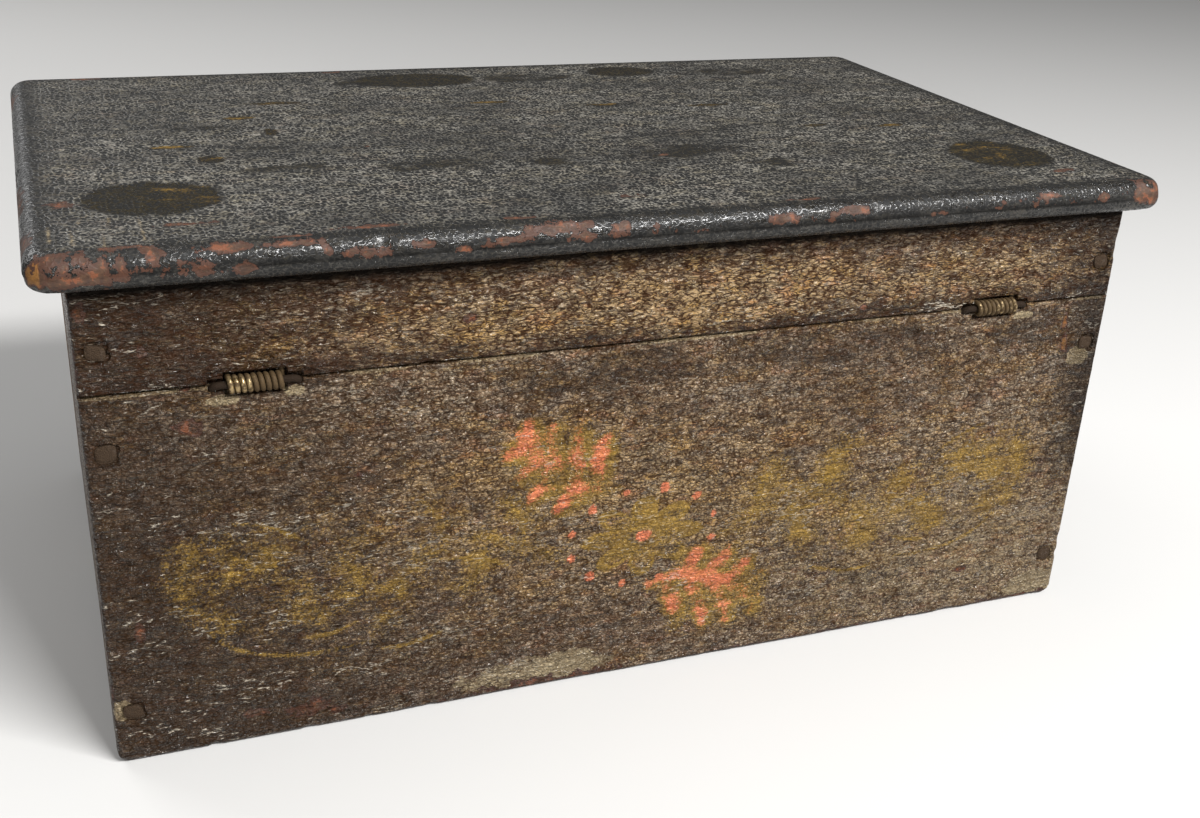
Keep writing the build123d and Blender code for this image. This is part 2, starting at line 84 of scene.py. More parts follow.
def scramble(key: Array) -> Array:
    """Whole numbers of 32 bits mixed up, then scaled to between -1 and 1."""
    for shift, factor in ((15, 2246822519), (13, 3266489917)):
        key = (key ^ key >> shift) * factor & 0xFFFFFFFF
    return (key ^ key >> 16) / 0x7FFFFFFF - 1.0


def cloud(points: Array, size: Sequence[float], seed: int, octaves: int = 1) -> Array:
    """Smooth noise from -1 to 1: random values on a lattice, blended by 3t2 - 2t3 on each axis.

    Args:
        points: places, one row of x, y, z each, in millimetres.
        size: lattice spacing on each axis, in millimetres.
        seed: which noise.
        octaves: how many layers, each half as large and half as strong as the one before.

    Returns:
        One value for each place.
    """
    total, weight, reach = np.zeros(len(points)), 1.0, 0.0
    scaled = points / np.asarray(size, float)
    for octave in range(octaves):
        base = np.floor(scaled).astype(np.int64)
        t = scaled - base
        t = t * t * (3.0 - 2.0 * t)
        layer = np.zeros(len(points))
        for corner in range(8):
            step = np.array([corner & 1, corner >> 1 & 1, corner >> 2 & 1])
            key = (base + step) @ np.array([73856093, 19349663, 83492791])
            value = scramble((key ^ (seed + 101 * octave) * 2654435761) & 0xFFFFFFFF)
            layer += value * np.prod(np.where(step, t, 1.0 - t), axis=1)
        total += weight * layer
        reach += weight
        weight *= 0.5
        scaled = scaled * 2.03 + 7.1
    return total / reach


def oval(a: Array, b: Array, spot: Sequence[float]) -> Array:
    """Distance from a spot's centre a, b, counted in its two reaches: 1 on its outline."""
    return np.sqrt(((a - spot[0]) / spot[2]) ** 2 + ((b - spot[1]) / spot[3]) ** 2)


def chip(a: Array, b: Array, spot: Sequence[float], ragged: Array) -> Array:
    """Soft field of a chip: 1 at its centre, 0.45 at its oval outline, 0 beyond 1.8 times its reach.

    Args:
        a, b: the two coordinates of each place.
        spot: centre, reaches and, where it isn't 1, strength, which below 0.6 leaves the primer on.
        ragged: noise of about -1 to 1 for each place.

    Returns:
        The field at each place.
    """
    strength = spot[4] if len(spot) > 4 else 1.0
    return strength * np.clip(1.0 - 0.55 * oval(a, b, spot) + 0.12 * ragged, 0.0, 1.0)


def blot(a: Array, b: Array, spot: Sequence[float], ragged: Array) -> Array:
    """Ragged oval patch: 1 inside, 0 outside, where ragged noise moves its outline."""
    return smooth(1.0 - oval(a, b, spot) + 0.35 * ragged, -0.08, 0.12)


def glow(a: Array, b: Array, spot: Sequence[float]) -> Array:
    """Soft bell-shaped patch, exp of minus the squared distance over its reach."""
    return np.exp(-(((a - spot[0]) / spot[2]) ** 2) - ((b - spot[1]) / spot[3]) ** 2)


def most(shape: Callable[..., Array], a: Array, b: Array, spots: Spots, *ragged: Array) -> Array:
    """The greatest of the values that a shape, chip, blot or glow, has over all its spots."""
    return np.max([shape(a, b, spot, *ragged) for spot in spots], axis=0)


def tinted(a: Array, b: Array, spots: Spots) -> Array:
    """Sum of the glows of spots, each times its own fifth value."""
    return sum(share * glow(a, b, spot) for *spot, share in spots)


# ---- brush strokes
@dataclass(frozen=True)
class Stroke:
    """One pull of a brush along a cubic curve, in the face's own two coordinates."""

    ends: tuple[Pair, Pair]
    pulls: tuple[Pair, Pair]
    width: float
    feather: float = 0.7

    def mask(self, a: Array, b: Array, ragged: Array) -> Array:
        """Cover by the stroke: 1 where the nearest point of the curve is nearer than its half width.

        The curve is the cubic through both ends with two pulls, and the half width swells as the
        square root of the sine along it.

        Args:
            a, b: the two coordinates of each place.
            ragged: how far its outline moves in at each place, in millimetres over 0.7.

        Returns:
            The cover at each place.
        """
        t = np.linspace(0.0, 1.0, 48)[:, None]
        p0, p1, p2, p3 = (np.array(end) for end in (self.ends[0], *self.pulls, self.ends[1]))
        line = (1 - t) ** 3 * p0 + 3 * (1 - t) ** 2 * t * p1 + 3 * (1 - t) * t * t * p2 + t**3 * p3
        half = self.width / 2 * np.sqrt(np.sin(np.pi * np.clip(t[:, 0], 0.03, 0.97)))
        reach = self.width / 2 + self.feather + 1.5
        low, high = line.min(0) - reach, line.max(0) + reach
        near = (a > low[0]) & (a < high[0]) & (b > low[1]) & (b < high[1])
        cover = np.zeros(len(a))
        if near.any():
            gap = np.hypot(a[near, None] - line[None, :, 0], b[near, None] - line[None, :, 1])
            gap = (gap - half).min(1)
            cover[near] = smooth(0.7 * ragged[near] - gap, -self.feather, self.feather)
        return cover


def leaf(root: Pair, length: float, angle: float, bend: float, width: float) -> Stroke:
    """Leaf stroke from its root.

    Args:
        root: where it starts.
        length: from there to its tip.
        angle: degrees from the a axis.
        bend: how far it bends sideways, as a share of its length.
        width: where it is widest.

    Returns:
        The stroke.
    """
    turn = np.radians(angle)
    along, across = np.array([np.cos(turn), np.sin(turn)]), np.array([-np.sin(turn), np.cos(turn)])
    at = np.array(root)
    pulls = [tuple(at + along * length * part + across * bend * length) for part in (0.35, 0.7)]
    return Stroke((tuple(at), tuple(at + along * length)), tuple(pulls), width)


# ---- boards as closed skins
@dataclass(frozen=True)
class Ruling:
    """Grid lines across one direction of a board's face, in millimetres from its edge."""

    at: Array
    kept: Array

    @staticmethod
    def spaced(
        length: float, step: float, radii: Pair, fine: Sequence[Point], breaks: Sequence[float], coarse: int
    ) -> "Ruling":
        """Even lines, closer over the rounded edges and over fine spans, doubled at each break.

        Args:
            length: size of the face in this direction.
            step: spacing of the lines.
            radii: rounding radius at the near and the far edge.
            fine: spans of closer lines, each as centre, half length and spacing.
            breaks: places of steep walls, where two lines lie side by side.
            coarse: every so many lines also cross the inner face.

        Returns:
            The lines and which of them the inner face keeps.
        """
        ends = []
        for radius in radii:
            turn = np.linspace(0.0, np.pi / 2, int(np.ceil(radius / 0.8)) + 2)
            ends.append(radius * (1.0 - np.cos(turn)))
        count = max(2, int(round((length - sum(radii)) / step)))
        middle = np.linspace(radii[0], length - radii[1], count + 1)[1:-1]
        for centre, half, spacing in fine:
            middle = middle[np.abs(middle - centre) > half + 0.4 * step]
            middle = np.append(middle, np.arange(centre - half, centre + half + 1e-6, spacing))
        for place in breaks:
            middle = middle[np.abs(middle - place) > 0.3]
        middle = middle[(middle > radii[0] + 0.2) & (middle < length - radii[1] - 0.2)]
        walls = np.array([place + side for place in breaks for side in (-0.05, 0.05)])
        at = np.concatenate([ends[0], middle, walls, length - ends[1]])
        order = np.argsort(at, kind="stable")
        kept = np.ones(len(at), bool)
        kept[len(ends[0]) : len(ends[0]) + len(middle)] = False
        at, kept = at[order], kept[order]
        kept[np.flatnonzero(~kept)[coarse // 2 :: coarse]] = True
        return Ruling(at, kept)


def spans(places: Sequence[float], half: float = 7.0) -> tuple[Point, ...]:
    """Spans of fine lines that reach `half` to both sides of each place."""
    return tuple((place, half, FINE) for place in places)


@dataclass(frozen=True)
class Pit:
    """A sunk place in a board's outer face: its outline as a signed distance, and its depth."""

    outline: Outline
    depth: float
    spacing: float = FINE

    def sink(self, u: Array, v: Array, d: Array) -> tuple[Array, Array, Array]:
        """Lowers what lies inside the outline, and draws the nearest lines onto its wall.

        Args:
            u, v, d: places on the face and their depth.

        Returns:
            The same three, moved.
        """
        nudge = 0.05
        gap = self.outline(u, v)
        slope_u = (self.outline(u + nudge, v) - self.outline(u - nudge, v)) / (2 * nudge)
        slope_v = (self.outline(u, v + nudge) - self.outline(u, v - nudge)) / (2 * nudge)
        steep = np.hypot(slope_u, slope_v) + 1e-6
        rim = np.where(gap < 0, -0.03, 0.03)
        shift = np.where(np.abs(gap) < 0.42 * self.spacing, (rim - gap) / steep**2, 0.0)
        lowered = np.where(gap < 0, np.maximum(d, self.depth), d)
        return u + shift * slope_u, v + shift * slope_v, lowered


def square_dent(centres: Sequence[Pair], half: float, seed: int) -> Pit:
    """Dents round square nail heads, each a little askew, with eased corners.

    Args:
        centres: u and v of each nail.
        half: half the width of a dent.
        seed: which way they lean.

    Returns:
        The pit, whose outline is the greater of both offsets.
    """

    def outline(u: Array, v: Array) -> Array:
        """Signed distance from the nearest dent, negative inside.

        Args:
            u, v: places on the face.

        Returns:
            The distance at each place.
        """
        nearest = np.full(len(u), 1e3)
        corner = half * 0.4
        for k, (cu, cv) in enumerate(centres):
            turn = np.radians(((k * 37 + seed * 11) % 17) - 8)
            a = (u - cu) * np.cos(turn) + (v - cv) * np.sin(turn)
            b = (v - cv) * np.cos(turn) - (u - cu) * np.sin(turn)
            out_a = np.maximum(np.abs(a) - half + corner, 0.0)
            out_b = np.maximum(np.abs(b) - half * 0.94 + corner, 0.0)
            nearest = np.minimum(nearest, np.hypot(out_a, out_b) - corner)
        return nearest

    return Pit(outline, NAIL_DENT_DEPTH)


def notch(seam: float, half: float, reach: float) -> Pit:
    """Box-shaped notches for the hinges, so far to each side of them and of the seam.

    Args:
        seam: height of the seam on the face.
        half: half the length of a notch.
        reach: half its height, and its depth.

    Returns:
        The pit.
    """

    def outline(u: Array, v: Array) -> Array:
        """Signed distance from the nearest notch, negative inside."""
        sideways = np.min([np.abs(u - centre) for centre in HINGES_U], axis=0) - half
        return np.maximum(sideways, np.maximum(seam - reach - v, v - (seam + reach)))

    return Pit(outline, reach)


def hinge_room(seam: float) -> tuple[Pit, Pit]:
    """Room along the seam for the pin of each hinge and, deeper and shorter, for its coil."""
    return notch(seam, half=17.6, reach=2.05), notch(seam, half=11.6, reach=4.2)


@dataclass
class Board:
    """A board as one closed skin: fine outer face, edges all round and a coarser inner face.

    Places are given as u and v across the outer face from its corner, and d, the depth below it.
    """

    name: str
    node: str
    corner: Point
    u_axis: Point
    size: Pair
    step: float = 1.7
    body: str = "box"
    slot: str = "brown_painted_pine"
    v_axis: Point = (0, 0, 1)
    thickness: float = WALL
    # arrises at the low and high u, then at the low and high v
    radii: Four = (2.0, 2.0, 1.5, 0.8)
    inner_radius: float = 0.3
    plan_corners: Four = (0.0, 0.0, 0.0, 0.0)
    fine_u: tuple[Point, ...] = ()
    fine_v: tuple[Point, ...] = ()
    breaks_u: tuple[float, ...] = ()
    breaks_v: tuple[float, ...] = ()
    pits: tuple[Pit, ...] = ()
    inner_recess: Outline | None = None
    lining: float = 0.4  # bare wood begins so far short of the inner face
    rings: int = 5
    coarse: int = 8

    def place(self, u: Array, v: Array, d: Array) -> Array:
        """Points in the box's own millimetres: corner + u along + v across - d outwards."""
        along, across = np.array(self.u_axis, float), np.array(self.v_axis, float)
        out = np.cross(along, across)
        return np.array(self.corner) + u[:, None] * along + v[:, None] * across - d[:, None] * out

    def edge_drop(self, u: Array, v: Array, radii: Sequence[float]) -> Array:
        """Depth of the rounded arrises: r - sqrt(r2 - (r - distance)2) from the nearest edge.

        Args:
            u, v: places on the face.
            radii: of the arrises at the low and high u, and at the low and high v.

        Returns:
            The depth at each place.
        """
        drop = np.zeros_like(u)
        for gap, radius in zip((u, self.size[0] - u, v, self.size[1] - v), radii):
            short = np.clip(radius - gap, 0.0, radius)
            drop = np.maximum(drop, radius - np.sqrt(radius**2 - short**2))
        return drop

    def round_plan(self, u: Array, v: Array) -> tuple[Array, Array]:
        """Square corners of the plan made round: each square ring of the corner becomes an arc.

        Args:
            u, v: places on the face.

        Returns:
            The same two, moved.
        """
        u, v = u.copy(), v.copy()
        for radius, (far_u, far_v) in zip(self.plan_corners, ((0, 0), (1, 0), (1, 1), (0, 1))):
            if radius <= 0:
                continue
            a = radius - (self.size[0] - u if far_u else u)
            b = radius - (self.size[1] - v if far_v else v)
            inside = (a > 0) & (b > 0)
            shrink = np.maximum(a, b)[inside] / np.hypot(a, b)[inside]
            new_a, new_b = a[inside] * shrink, b[inside] * shrink
            u[inside] = (self.size[0] - radius + new_a) if far_u else (radius - new_a)
            v[inside] = (self.size[1] - radius + new_b) if far_v else (radius - new_b)
        return u, v

    def skin(self) -> "Skin":
        """The closed skin: outer grid, rings down the edges, a strip of triangles, inner grid.

        Returns:
            The skin, before its wear.
        """
        edge = [max(radius, self.inner_radius) for radius in self.radii]
        lines = [
            Ruling.spaced(length, self.step, tuple(pair), fine, breaks, self.coarse)
            for length, pair, fine, breaks in (
                (self.size[0], edge[:2], self.fine_u, self.breaks_u),
                (self.size[1], edge[2:], self.fine_v, self.breaks_v),
            )
        ]
        across, up = (line.at for line in lines)
        outer_u, outer_v = (g.ravel() for g in np.meshgrid(across, up, indexing="ij"))
        outer_d = self.edge_drop(outer_u, outer_v, self.radii)
        for pit in self.pits:
            outer_u, outer_v, outer_d = pit.sink(outer_u, outer_v, outer_d)
        rows, columns = len(across), len(up)
        loop = border(rows, columns)
        kept_u, kept_v = (np.flatnonzero(line.kept) for line in lines)
        inner_u, inner_v = (g.ravel() for g in np.meshgrid(across[kept_u], up[kept_v], indexing="ij"))
        inner_d = self.thickness - self.edge_drop(inner_u, inner_v, (self.inner_radius,) * 4)
        if self.inner_recess is not None:
            inner_d = inner_d - self.inner_recess(inner_u, inner_v)
        inner_loop = border(len(kept_u), len(kept_v))
        sides = (
            kept_u[:-1],
            rows - 1 + kept_v[:-1],
            2 * (rows - 1) + columns - 1 - kept_u[:0:-1],
            2 * (rows + columns - 2) - kept_v[:0:-1],
        )
        starts, size = np.concatenate(sides), len(loop)
        level = inner_d[inner_loop]
        floor = np.interp(np.arange(size), np.append(starts, size), np.append(level, level[0]))
        share = np.linspace(0.0, 1.0, self.rings + 2)[1:-1, None]
        ring_d = (outer_d[loop] + (floor - outer_d[loop]) * share).ravel()
        u = np.concatenate([outer_u, np.tile(outer_u[loop], self.rings), inner_u])
        v = np.concatenate([outer_v, np.tile(outer_v[loop], self.rings), inner_v])
        d = np.concatenate([outer_d, ring_d, inner_d])
        zone = np.repeat([0, 1, 2], [len(outer_u), len(ring_d), len(inner_u)])
        first_ring, first_inner = len(outer_u), len(outer_u) + len(ring_d)
        loops = [loop] + [first_ring + size * k + np.arange(size) for k in range(self.rings)]
        quads = [grid_faces(rows, columns)]
        for upper, lower in zip(loops[:-1], loops[1:]):
            quads.append(np.stack([upper, lower, np.roll(lower, -1), np.roll(upper, -1)], 1))
        quads.append(first_inner + grid_faces(len(kept_u), len(kept_v))[:, ::-1])
        strip = stitch(loops[-1], first_inner + inner_loop, starts)
        u, v = self.round_plan(u, v)
        return Skin(self.place(u, v, d), np.concatenate(quads), strip, u, v, d, zone)

    def shows_wood(self, middles: Array, depths: Array) -> Array:
        """Bare faces: the inside, and the seam edge more than 5 mm in.

        Args:
            middles: the middle of each face.
            depths: how deep it lies.

        Returns:
            Whether each face is bare.
        """
        flush = (np.abs(middles[:, 0]) > HALF_WIDTH - 0.2) & (depths < WALL - 0.2)
        seam = (np.abs(middles[:, 2] - HINGE_Z) < 0.5 + SEAM_GAP / 2) & (depths > 5.0)
        return ((depths > WALL - self.lining) & ~flush) | seam


@dataclass
class TopBoard(Board):
    """The top board of the lid."""

    def shows_wood(self, middles: Array, depths: Array) -> Array:
        """Bare faces: the underside within the rim."""
        within = (np.abs(middles[:, 0]) < HALF_WIDTH - WALL) & (np.abs(middles[:, 1]) < HALF_END)
        return within & (depths > TOP_THICKNESS - 0.5)


def border(rows: int, columns: int) -> Array:
    """Indexes round a grid's border, anticlockwise from its first corner."""
    grid = np.arange(rows * columns).reshape(rows, columns)
    return np.concatenate([grid[:-1, 0], grid[-1, :-1], grid[:0:-1, -1], grid[0, :0:-1]])


def grid_faces(rows: int, columns: int) -> Array:
    """Four-sided faces of a grid of rows by columns points, anticlockwise."""
    grid = np.arange(rows * columns).reshape(rows, columns)
    return np.stack([grid[:-1, :-1], grid[1:, :-1], grid[1:, 1:], grid[:-1, 1:]], -1).reshape(-1, 4)


def stitch(fine: Array, rough: Array, starts: Array) -> Array:
    """Triangles between two closed loops: each edge of one goes to a point of the other between.

    Args:
        fine: points of the fine loop.
        rough: points of the rough loop.
        starts: where on the fine loop each rough point lies.

    Returns:
        The triangles.
    """
    count, parts = len(fine), len(rough)
    middle = (starts + np.append(starts[1:], count)) // 2
    edge = np.arange(count)
    part = np.searchsorted(starts, edge, side="right") - 1
    tip = rough[np.where(edge < middle[part], part, part + 1) % parts]
    sides = np.stack([fine, tip, np.roll(fine, -1)], 1)
    bases = np.stack([fine[middle % count], rough, np.roll(rough, -1)], 1)
    return np.concatenate([sides, bases])


@dataclass
class Skin:
    """Points and faces of a board before its wear, with each point's own u, v, depth and zone.

    The zone is 0 on the outer face, 1 on the rings down its edges and 2 on the inner face.
    """

    points: Array
    quads: Array
    tris: Array
    u: Array
    v: Array
    d: Array
    zone: Array

    @property
    def face(self) -> Array:
        """Whether each point is on the outer face itself."""
        return self.zone == 0

    @property
    def shallow(self) -> Array:
        """Whether each point is less than 5 mm deep, which is as far as chips go down an edge."""
        return self.d < 5.0

    def cloud(self, size: Sequence[float], seed: int, octaves: int = 1) -> Array:
        """The noise called cloud at each point."""
        return cloud(self.points, size, seed, octaves)

    def normals(self) -> Array:
        """Unit normal of each point: the sum of its faces' cross products.

        Returns:
            One row for each point.
        """
        total = np.zeros_like(self.points)
        for faces in (self.quads, self.tris):
            corners = self.points[faces]
            if faces.shape[1] == 3:
                face = np.cross(corners[:, 1] - corners[:, 0], corners[:, 2] - corners[:, 0])
            else:
                face = np.cross(corners[:, 2] - corners[:, 0], corners[:, 3] - corners[:, 1])
            for column in faces.T:
                for axis in range(3):
                    total[:, axis] += np.bincount(column, face[:, axis], len(total))
        return total / (np.linalg.norm(total, axis=1, keepdims=True) + 1e-12)


def make_object(
    name: str,
    shape: Mesh,
    materials: Sequence[Material],
    face_slots: Array | None = None,
    masks: Masks | None = None,
) -> bpy.types.Object:
    """One mesh object from whole arrays, with its place in its mesh.

    Args:
        name: the piece's name.
        shape: its points in millimetres and its faces.
        materials: the finishes.
        face_slots: which finish each face takes, or None for the first.
        masks: one value per point for each named attribute.

    Returns:
        The object, linked to the scene; edges sharper than 55 degrees stay sharp.
    """
    points, quads, tris = shape
    mesh = bpy.data.meshes.new(name)
    corners = np.concatenate([quads.ravel(), tris.ravel()]).astype(np.int32)
    sizes = np.repeat([4, 3], [len(quads), len(tris)])
    mesh.vertices.add(len(points))
    mesh.vertices.foreach_set("co", (points * MM).astype(np.float32).ravel())
    mesh.loops.add(len(corners))
    mesh.loops.foreach_set("vertex_index", corners)
    mesh.polygons.add(len(sizes))
    mesh.polygons.foreach_set("loop_start", (np.cumsum(sizes) - sizes).astype(np.int32))
    for material in materials:
        mesh.materials.append(material)
    if face_slots is not None:
        mesh.polygons.foreach_set("material_index", face_slots.astype(np.int32))
    mesh.update(calc_edges=True)
    mesh.shade_smooth()
    mesh.set_sharp_from_angle(angle=float(np.radians(55.0)))
    for label, values in (masks or {}).items():
        layer = mesh.attributes.new(label, "FLOAT", "POINT")
        layer.data.foreach_set("value", values.astype(np.float32))
    piece = bpy.data.objects.new(name, mesh)
    bpy.context.scene.collection.objects.link(piece)
    return piece


def settle(piece: bpy.types.Object, node: str, body: str, slot: str) -> None:
    """Hides the part that a piece stands for and hangs the piece on what it rides on.

    Args:
        piece: the piece.
        node: the part that it stands for.
        body: what it rides on.
        slot: not used.
    """
    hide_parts(node)
    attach(piece, body)
    log.info("%s: %d faces", piece.name, len(piece.data.polygons))


def dress_node(node: str, material: Material) -> None:
    """Gives a part of the model its finish, and leaves its shape as it is.

    Args:
        node: the part.
        material: the finish.
    """
    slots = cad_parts[node].data.materials
    slots.clear()
    slots.append(material)
    log.info("%s: dressed in %s", node, material.name)


# ---- finishes
Socket = bpy.types.NodeSocket
Signals = dict[str, Socket]
Inputs = dict[str | int, Any] | Sequence[Any]  # by name, or in the node's own order
MATH, RANGE, MIX, BUMP, ATTRIBUTE = (
    f"ShaderNode{kind}" for kind in ("Math", "MapRange", "Mix", "Bump", "Attribute")
)
NOISE, VORONOI, MAPPING, VECTOR = (
    f"ShaderNode{kind}" for kind in ("TexNoise", "TexVoronoi", "Mapping", "VectorMath")
)
# A range node takes value, from low, from high, to low, to high; these settle what maths is done.
TIMES, ADDED, LESS, MOST, SIZE = (
    {"operation": name} for name in ("MULTIPLY", "MULTIPLY_ADD", "SUBTRACT", "MAXIMUM", "ABSOLUTE")
)
EASED = {"interpolation_type": "SMOOTHSTEP"}
MIX_A, MIX_B, MIX_OUT = 6, 7, 2  # colour sockets of the Mix node
MASK_NAMES = ("bare", "stain", "mustard", "salmon", "khaki", "sound", "ochre", "soot_and_shade")


def linear(colour: str) -> Four:
    """An sRGB hex colour as the linear values that a shader takes.

    Args:
        colour: hash sign and six hex digits.

    Returns:
        Red, green, blue and 1.
    """
    channels = np.array([int(colour[i : i + 2], 16) for i in (1, 3, 5)]) / 255.0
    curved = np.where(channels <= 0.04045, channels / 12.92, ((channels + 0.055) / 1.055) ** 2.4)
    return (*curved.tolist(), 1.0)


@dataclass
class Bench:
    """A material being made: its node tree, its main shader, and places fixed to the piece."""

    name: str
    material: Material = field(init=False)
    tree: bpy.types.NodeTree = field(init=False)
    shader: bpy.types.Node = field(init=False)
    coords: Socket = field(init=False)

    def __post_init__(self) -> None:
        """Starts the material with its output, its shader and its Object coordinates."""
        self.material = bpy.data.materials.new(self.name)
        self.material.use_nodes = True
        self.tree = self.material.node_tree
        self.tree.nodes.clear()
        self.shader = self.add("ShaderNodeBsdfPrincipled").node
        output = self.tree.nodes.new("ShaderNodeOutputMaterial")
        self.plug(output, {"Surface": self.shader.outputs[0]})
        self.coords = self.add("ShaderNodeTexCoord", out="Object")

    def plug(self, node: bpy.types.Node, inputs: Inputs) -> None:
        """Sets a node's inputs, or links them.

        Args:
            node: the node.
            inputs: a value or another node's output for each input.
        """
        for key, value in inputs.items() if isinstance(inputs, dict) else enumerate(inputs):
            if isinstance(value, Socket):
                self.tree.links.new(value, node.inputs[key])
            else:
                node.inputs[key].default_value = value

    def add(self, kind: str, inputs: Inputs = (), out: str | int = 0, **settings: Any) -> Socket:
        """Adds one node with its settings and links.

        Args:
            kind: the node's type.
            inputs: what its inputs take, as plug has them.
            out: the output wanted, by name or number.
            settings: the node's properties.

        Returns:
            That output.
        """
        node = self.tree.nodes.new(kind)
        for key, value in settings.items():
            setattr(node, key, value)
        self.plug(node, inputs)
        return node.outputs[out]

    def over(self, base: str | Socket, *coats: tuple[Socket, str | Socket]) -> Socket:
        """Lays coats one over another.

        Args:
            base: colour of what lies below, as hex or a socket.
            coats: cover and colour of each coat, the lowest first.

        Returns:
            The colour that shows.
        """
        for cover, colour in coats:
            below, above = (linear(c) if isinstance(c, str) else c for c in (base, colour))
            base = self.add(MIX, {0: cover, MIX_A: below, MIX_B: above}, MIX_OUT, data_type="RGBA")
        return base

    def dress(self, **inputs: Any) -> Material:
        """Plugs the main shader.

        Args:
            inputs: what its inputs take, with _ for the spaces in their names.

        Returns:
            The finished material.
        """
        self.plug(self.shader, {key.replace("_", " "): value for key, value in inputs.items()})
        return self.material


class Grain(Enum):
    """Which way the wood of a board runs: the number of its axis."""

    ALONG_X = 0
    ALONG_Y = 1

    def stretch(self, share: float) -> tuple[float, ...]:
        """Scale of a pattern drawn out along the grain: `share` on that axis and 1 on the others."""
        return tuple(share if axis == self.value else 1.0 for axis in range(3))


@dataclass(frozen=True)
class Crackle:
    """Pattern of old oil paint that has shrunk into small cells with cracks between them.

    The cell size is in millimetres on each axis. Drift is how far the rows wander, fray how far
    the single cracks do, and crumbled how much of the pattern has broken down into loose grains.
    """

    cell: tuple[float, float, float]
    drift: float = 0.9
    fray: float = 0.45
    crumbled: float = 0.0

    def build(self, bench: Bench) -> tuple[Socket, Socket, Socket]:
        """Lays the nodes of the pattern.

        Args:
            bench: the material it is for.

        Returns:
            Height of the cell, 0 in the cracks; lean of its top; and its own tint.
        """
        add, moved, halves = bench.add, bench.coords, (0.5, 0.5, 0.5)
        for scale, reach in ((70.0, self.drift), (380.0, self.fray)):  # swirls of 14 mm and of 2.6 mm
            swirl = add(NOISE, {"Vector": bench.coords, "Scale": scale, "Detail": 2.0}, "Color")
            swirl = add(VECTOR, (swirl, halves), **LESS)
            moved = add(VECTOR, (swirl, (2 * reach * MM,) * 3, moved), **ADDED)
        at = add(MAPPING, {"Vector": moved, "Scale": tuple(1.0 / (size * MM) for size in self.cell)})
        cells = {"Vector": at, "Scale": 1.0, "Randomness": 0.92}
        edge = add(VORONOI, cells, "Distance", feature="DISTANCE_TO_EDGE")
        cell = add(VORONOI, cells, "Color", feature="F1")
        # cracks gape in some places and nearly close in others
        gape = add(NOISE, {"Vector": bench.coords, "Scale": 170.0, "Detail": 2.0})
        closed = add(RANGE, (gape, 0.3, 0.7, 0.05, -0.16))
        wide = add(RANGE, (gape, 0.3, 0.7, 0.5, 0.3))
        crest = add(RANGE, (edge, closed, wide), **EASED)
        grains = {"Vector": at, "Scale": 0.9, "Detail": 3.0, "Roughness": 0.66, "Distortion": 0.4}
        grain = add(RANGE, (add(NOISE, grains), 0.36, 0.62), **EASED)
        kept = add(MATH, (crest, 1.0 - self.crumbled), **TIMES)
        whole = add(MATH, (grain, self.crumbled, kept), **ADDED)
        away = add(VECTOR, (at, cell.node.outputs["Position"]), **LESS)
        lean = add(VECTOR, (cell, halves), **LESS)
        tilt = add(VECTOR, (away, lean), "Value", operation="DOT_PRODUCT")
        return whole, tilt, add(VECTOR, (cell, (0.5, 0.5, 0.0)), "Value", operation="DOT_PRODUCT")


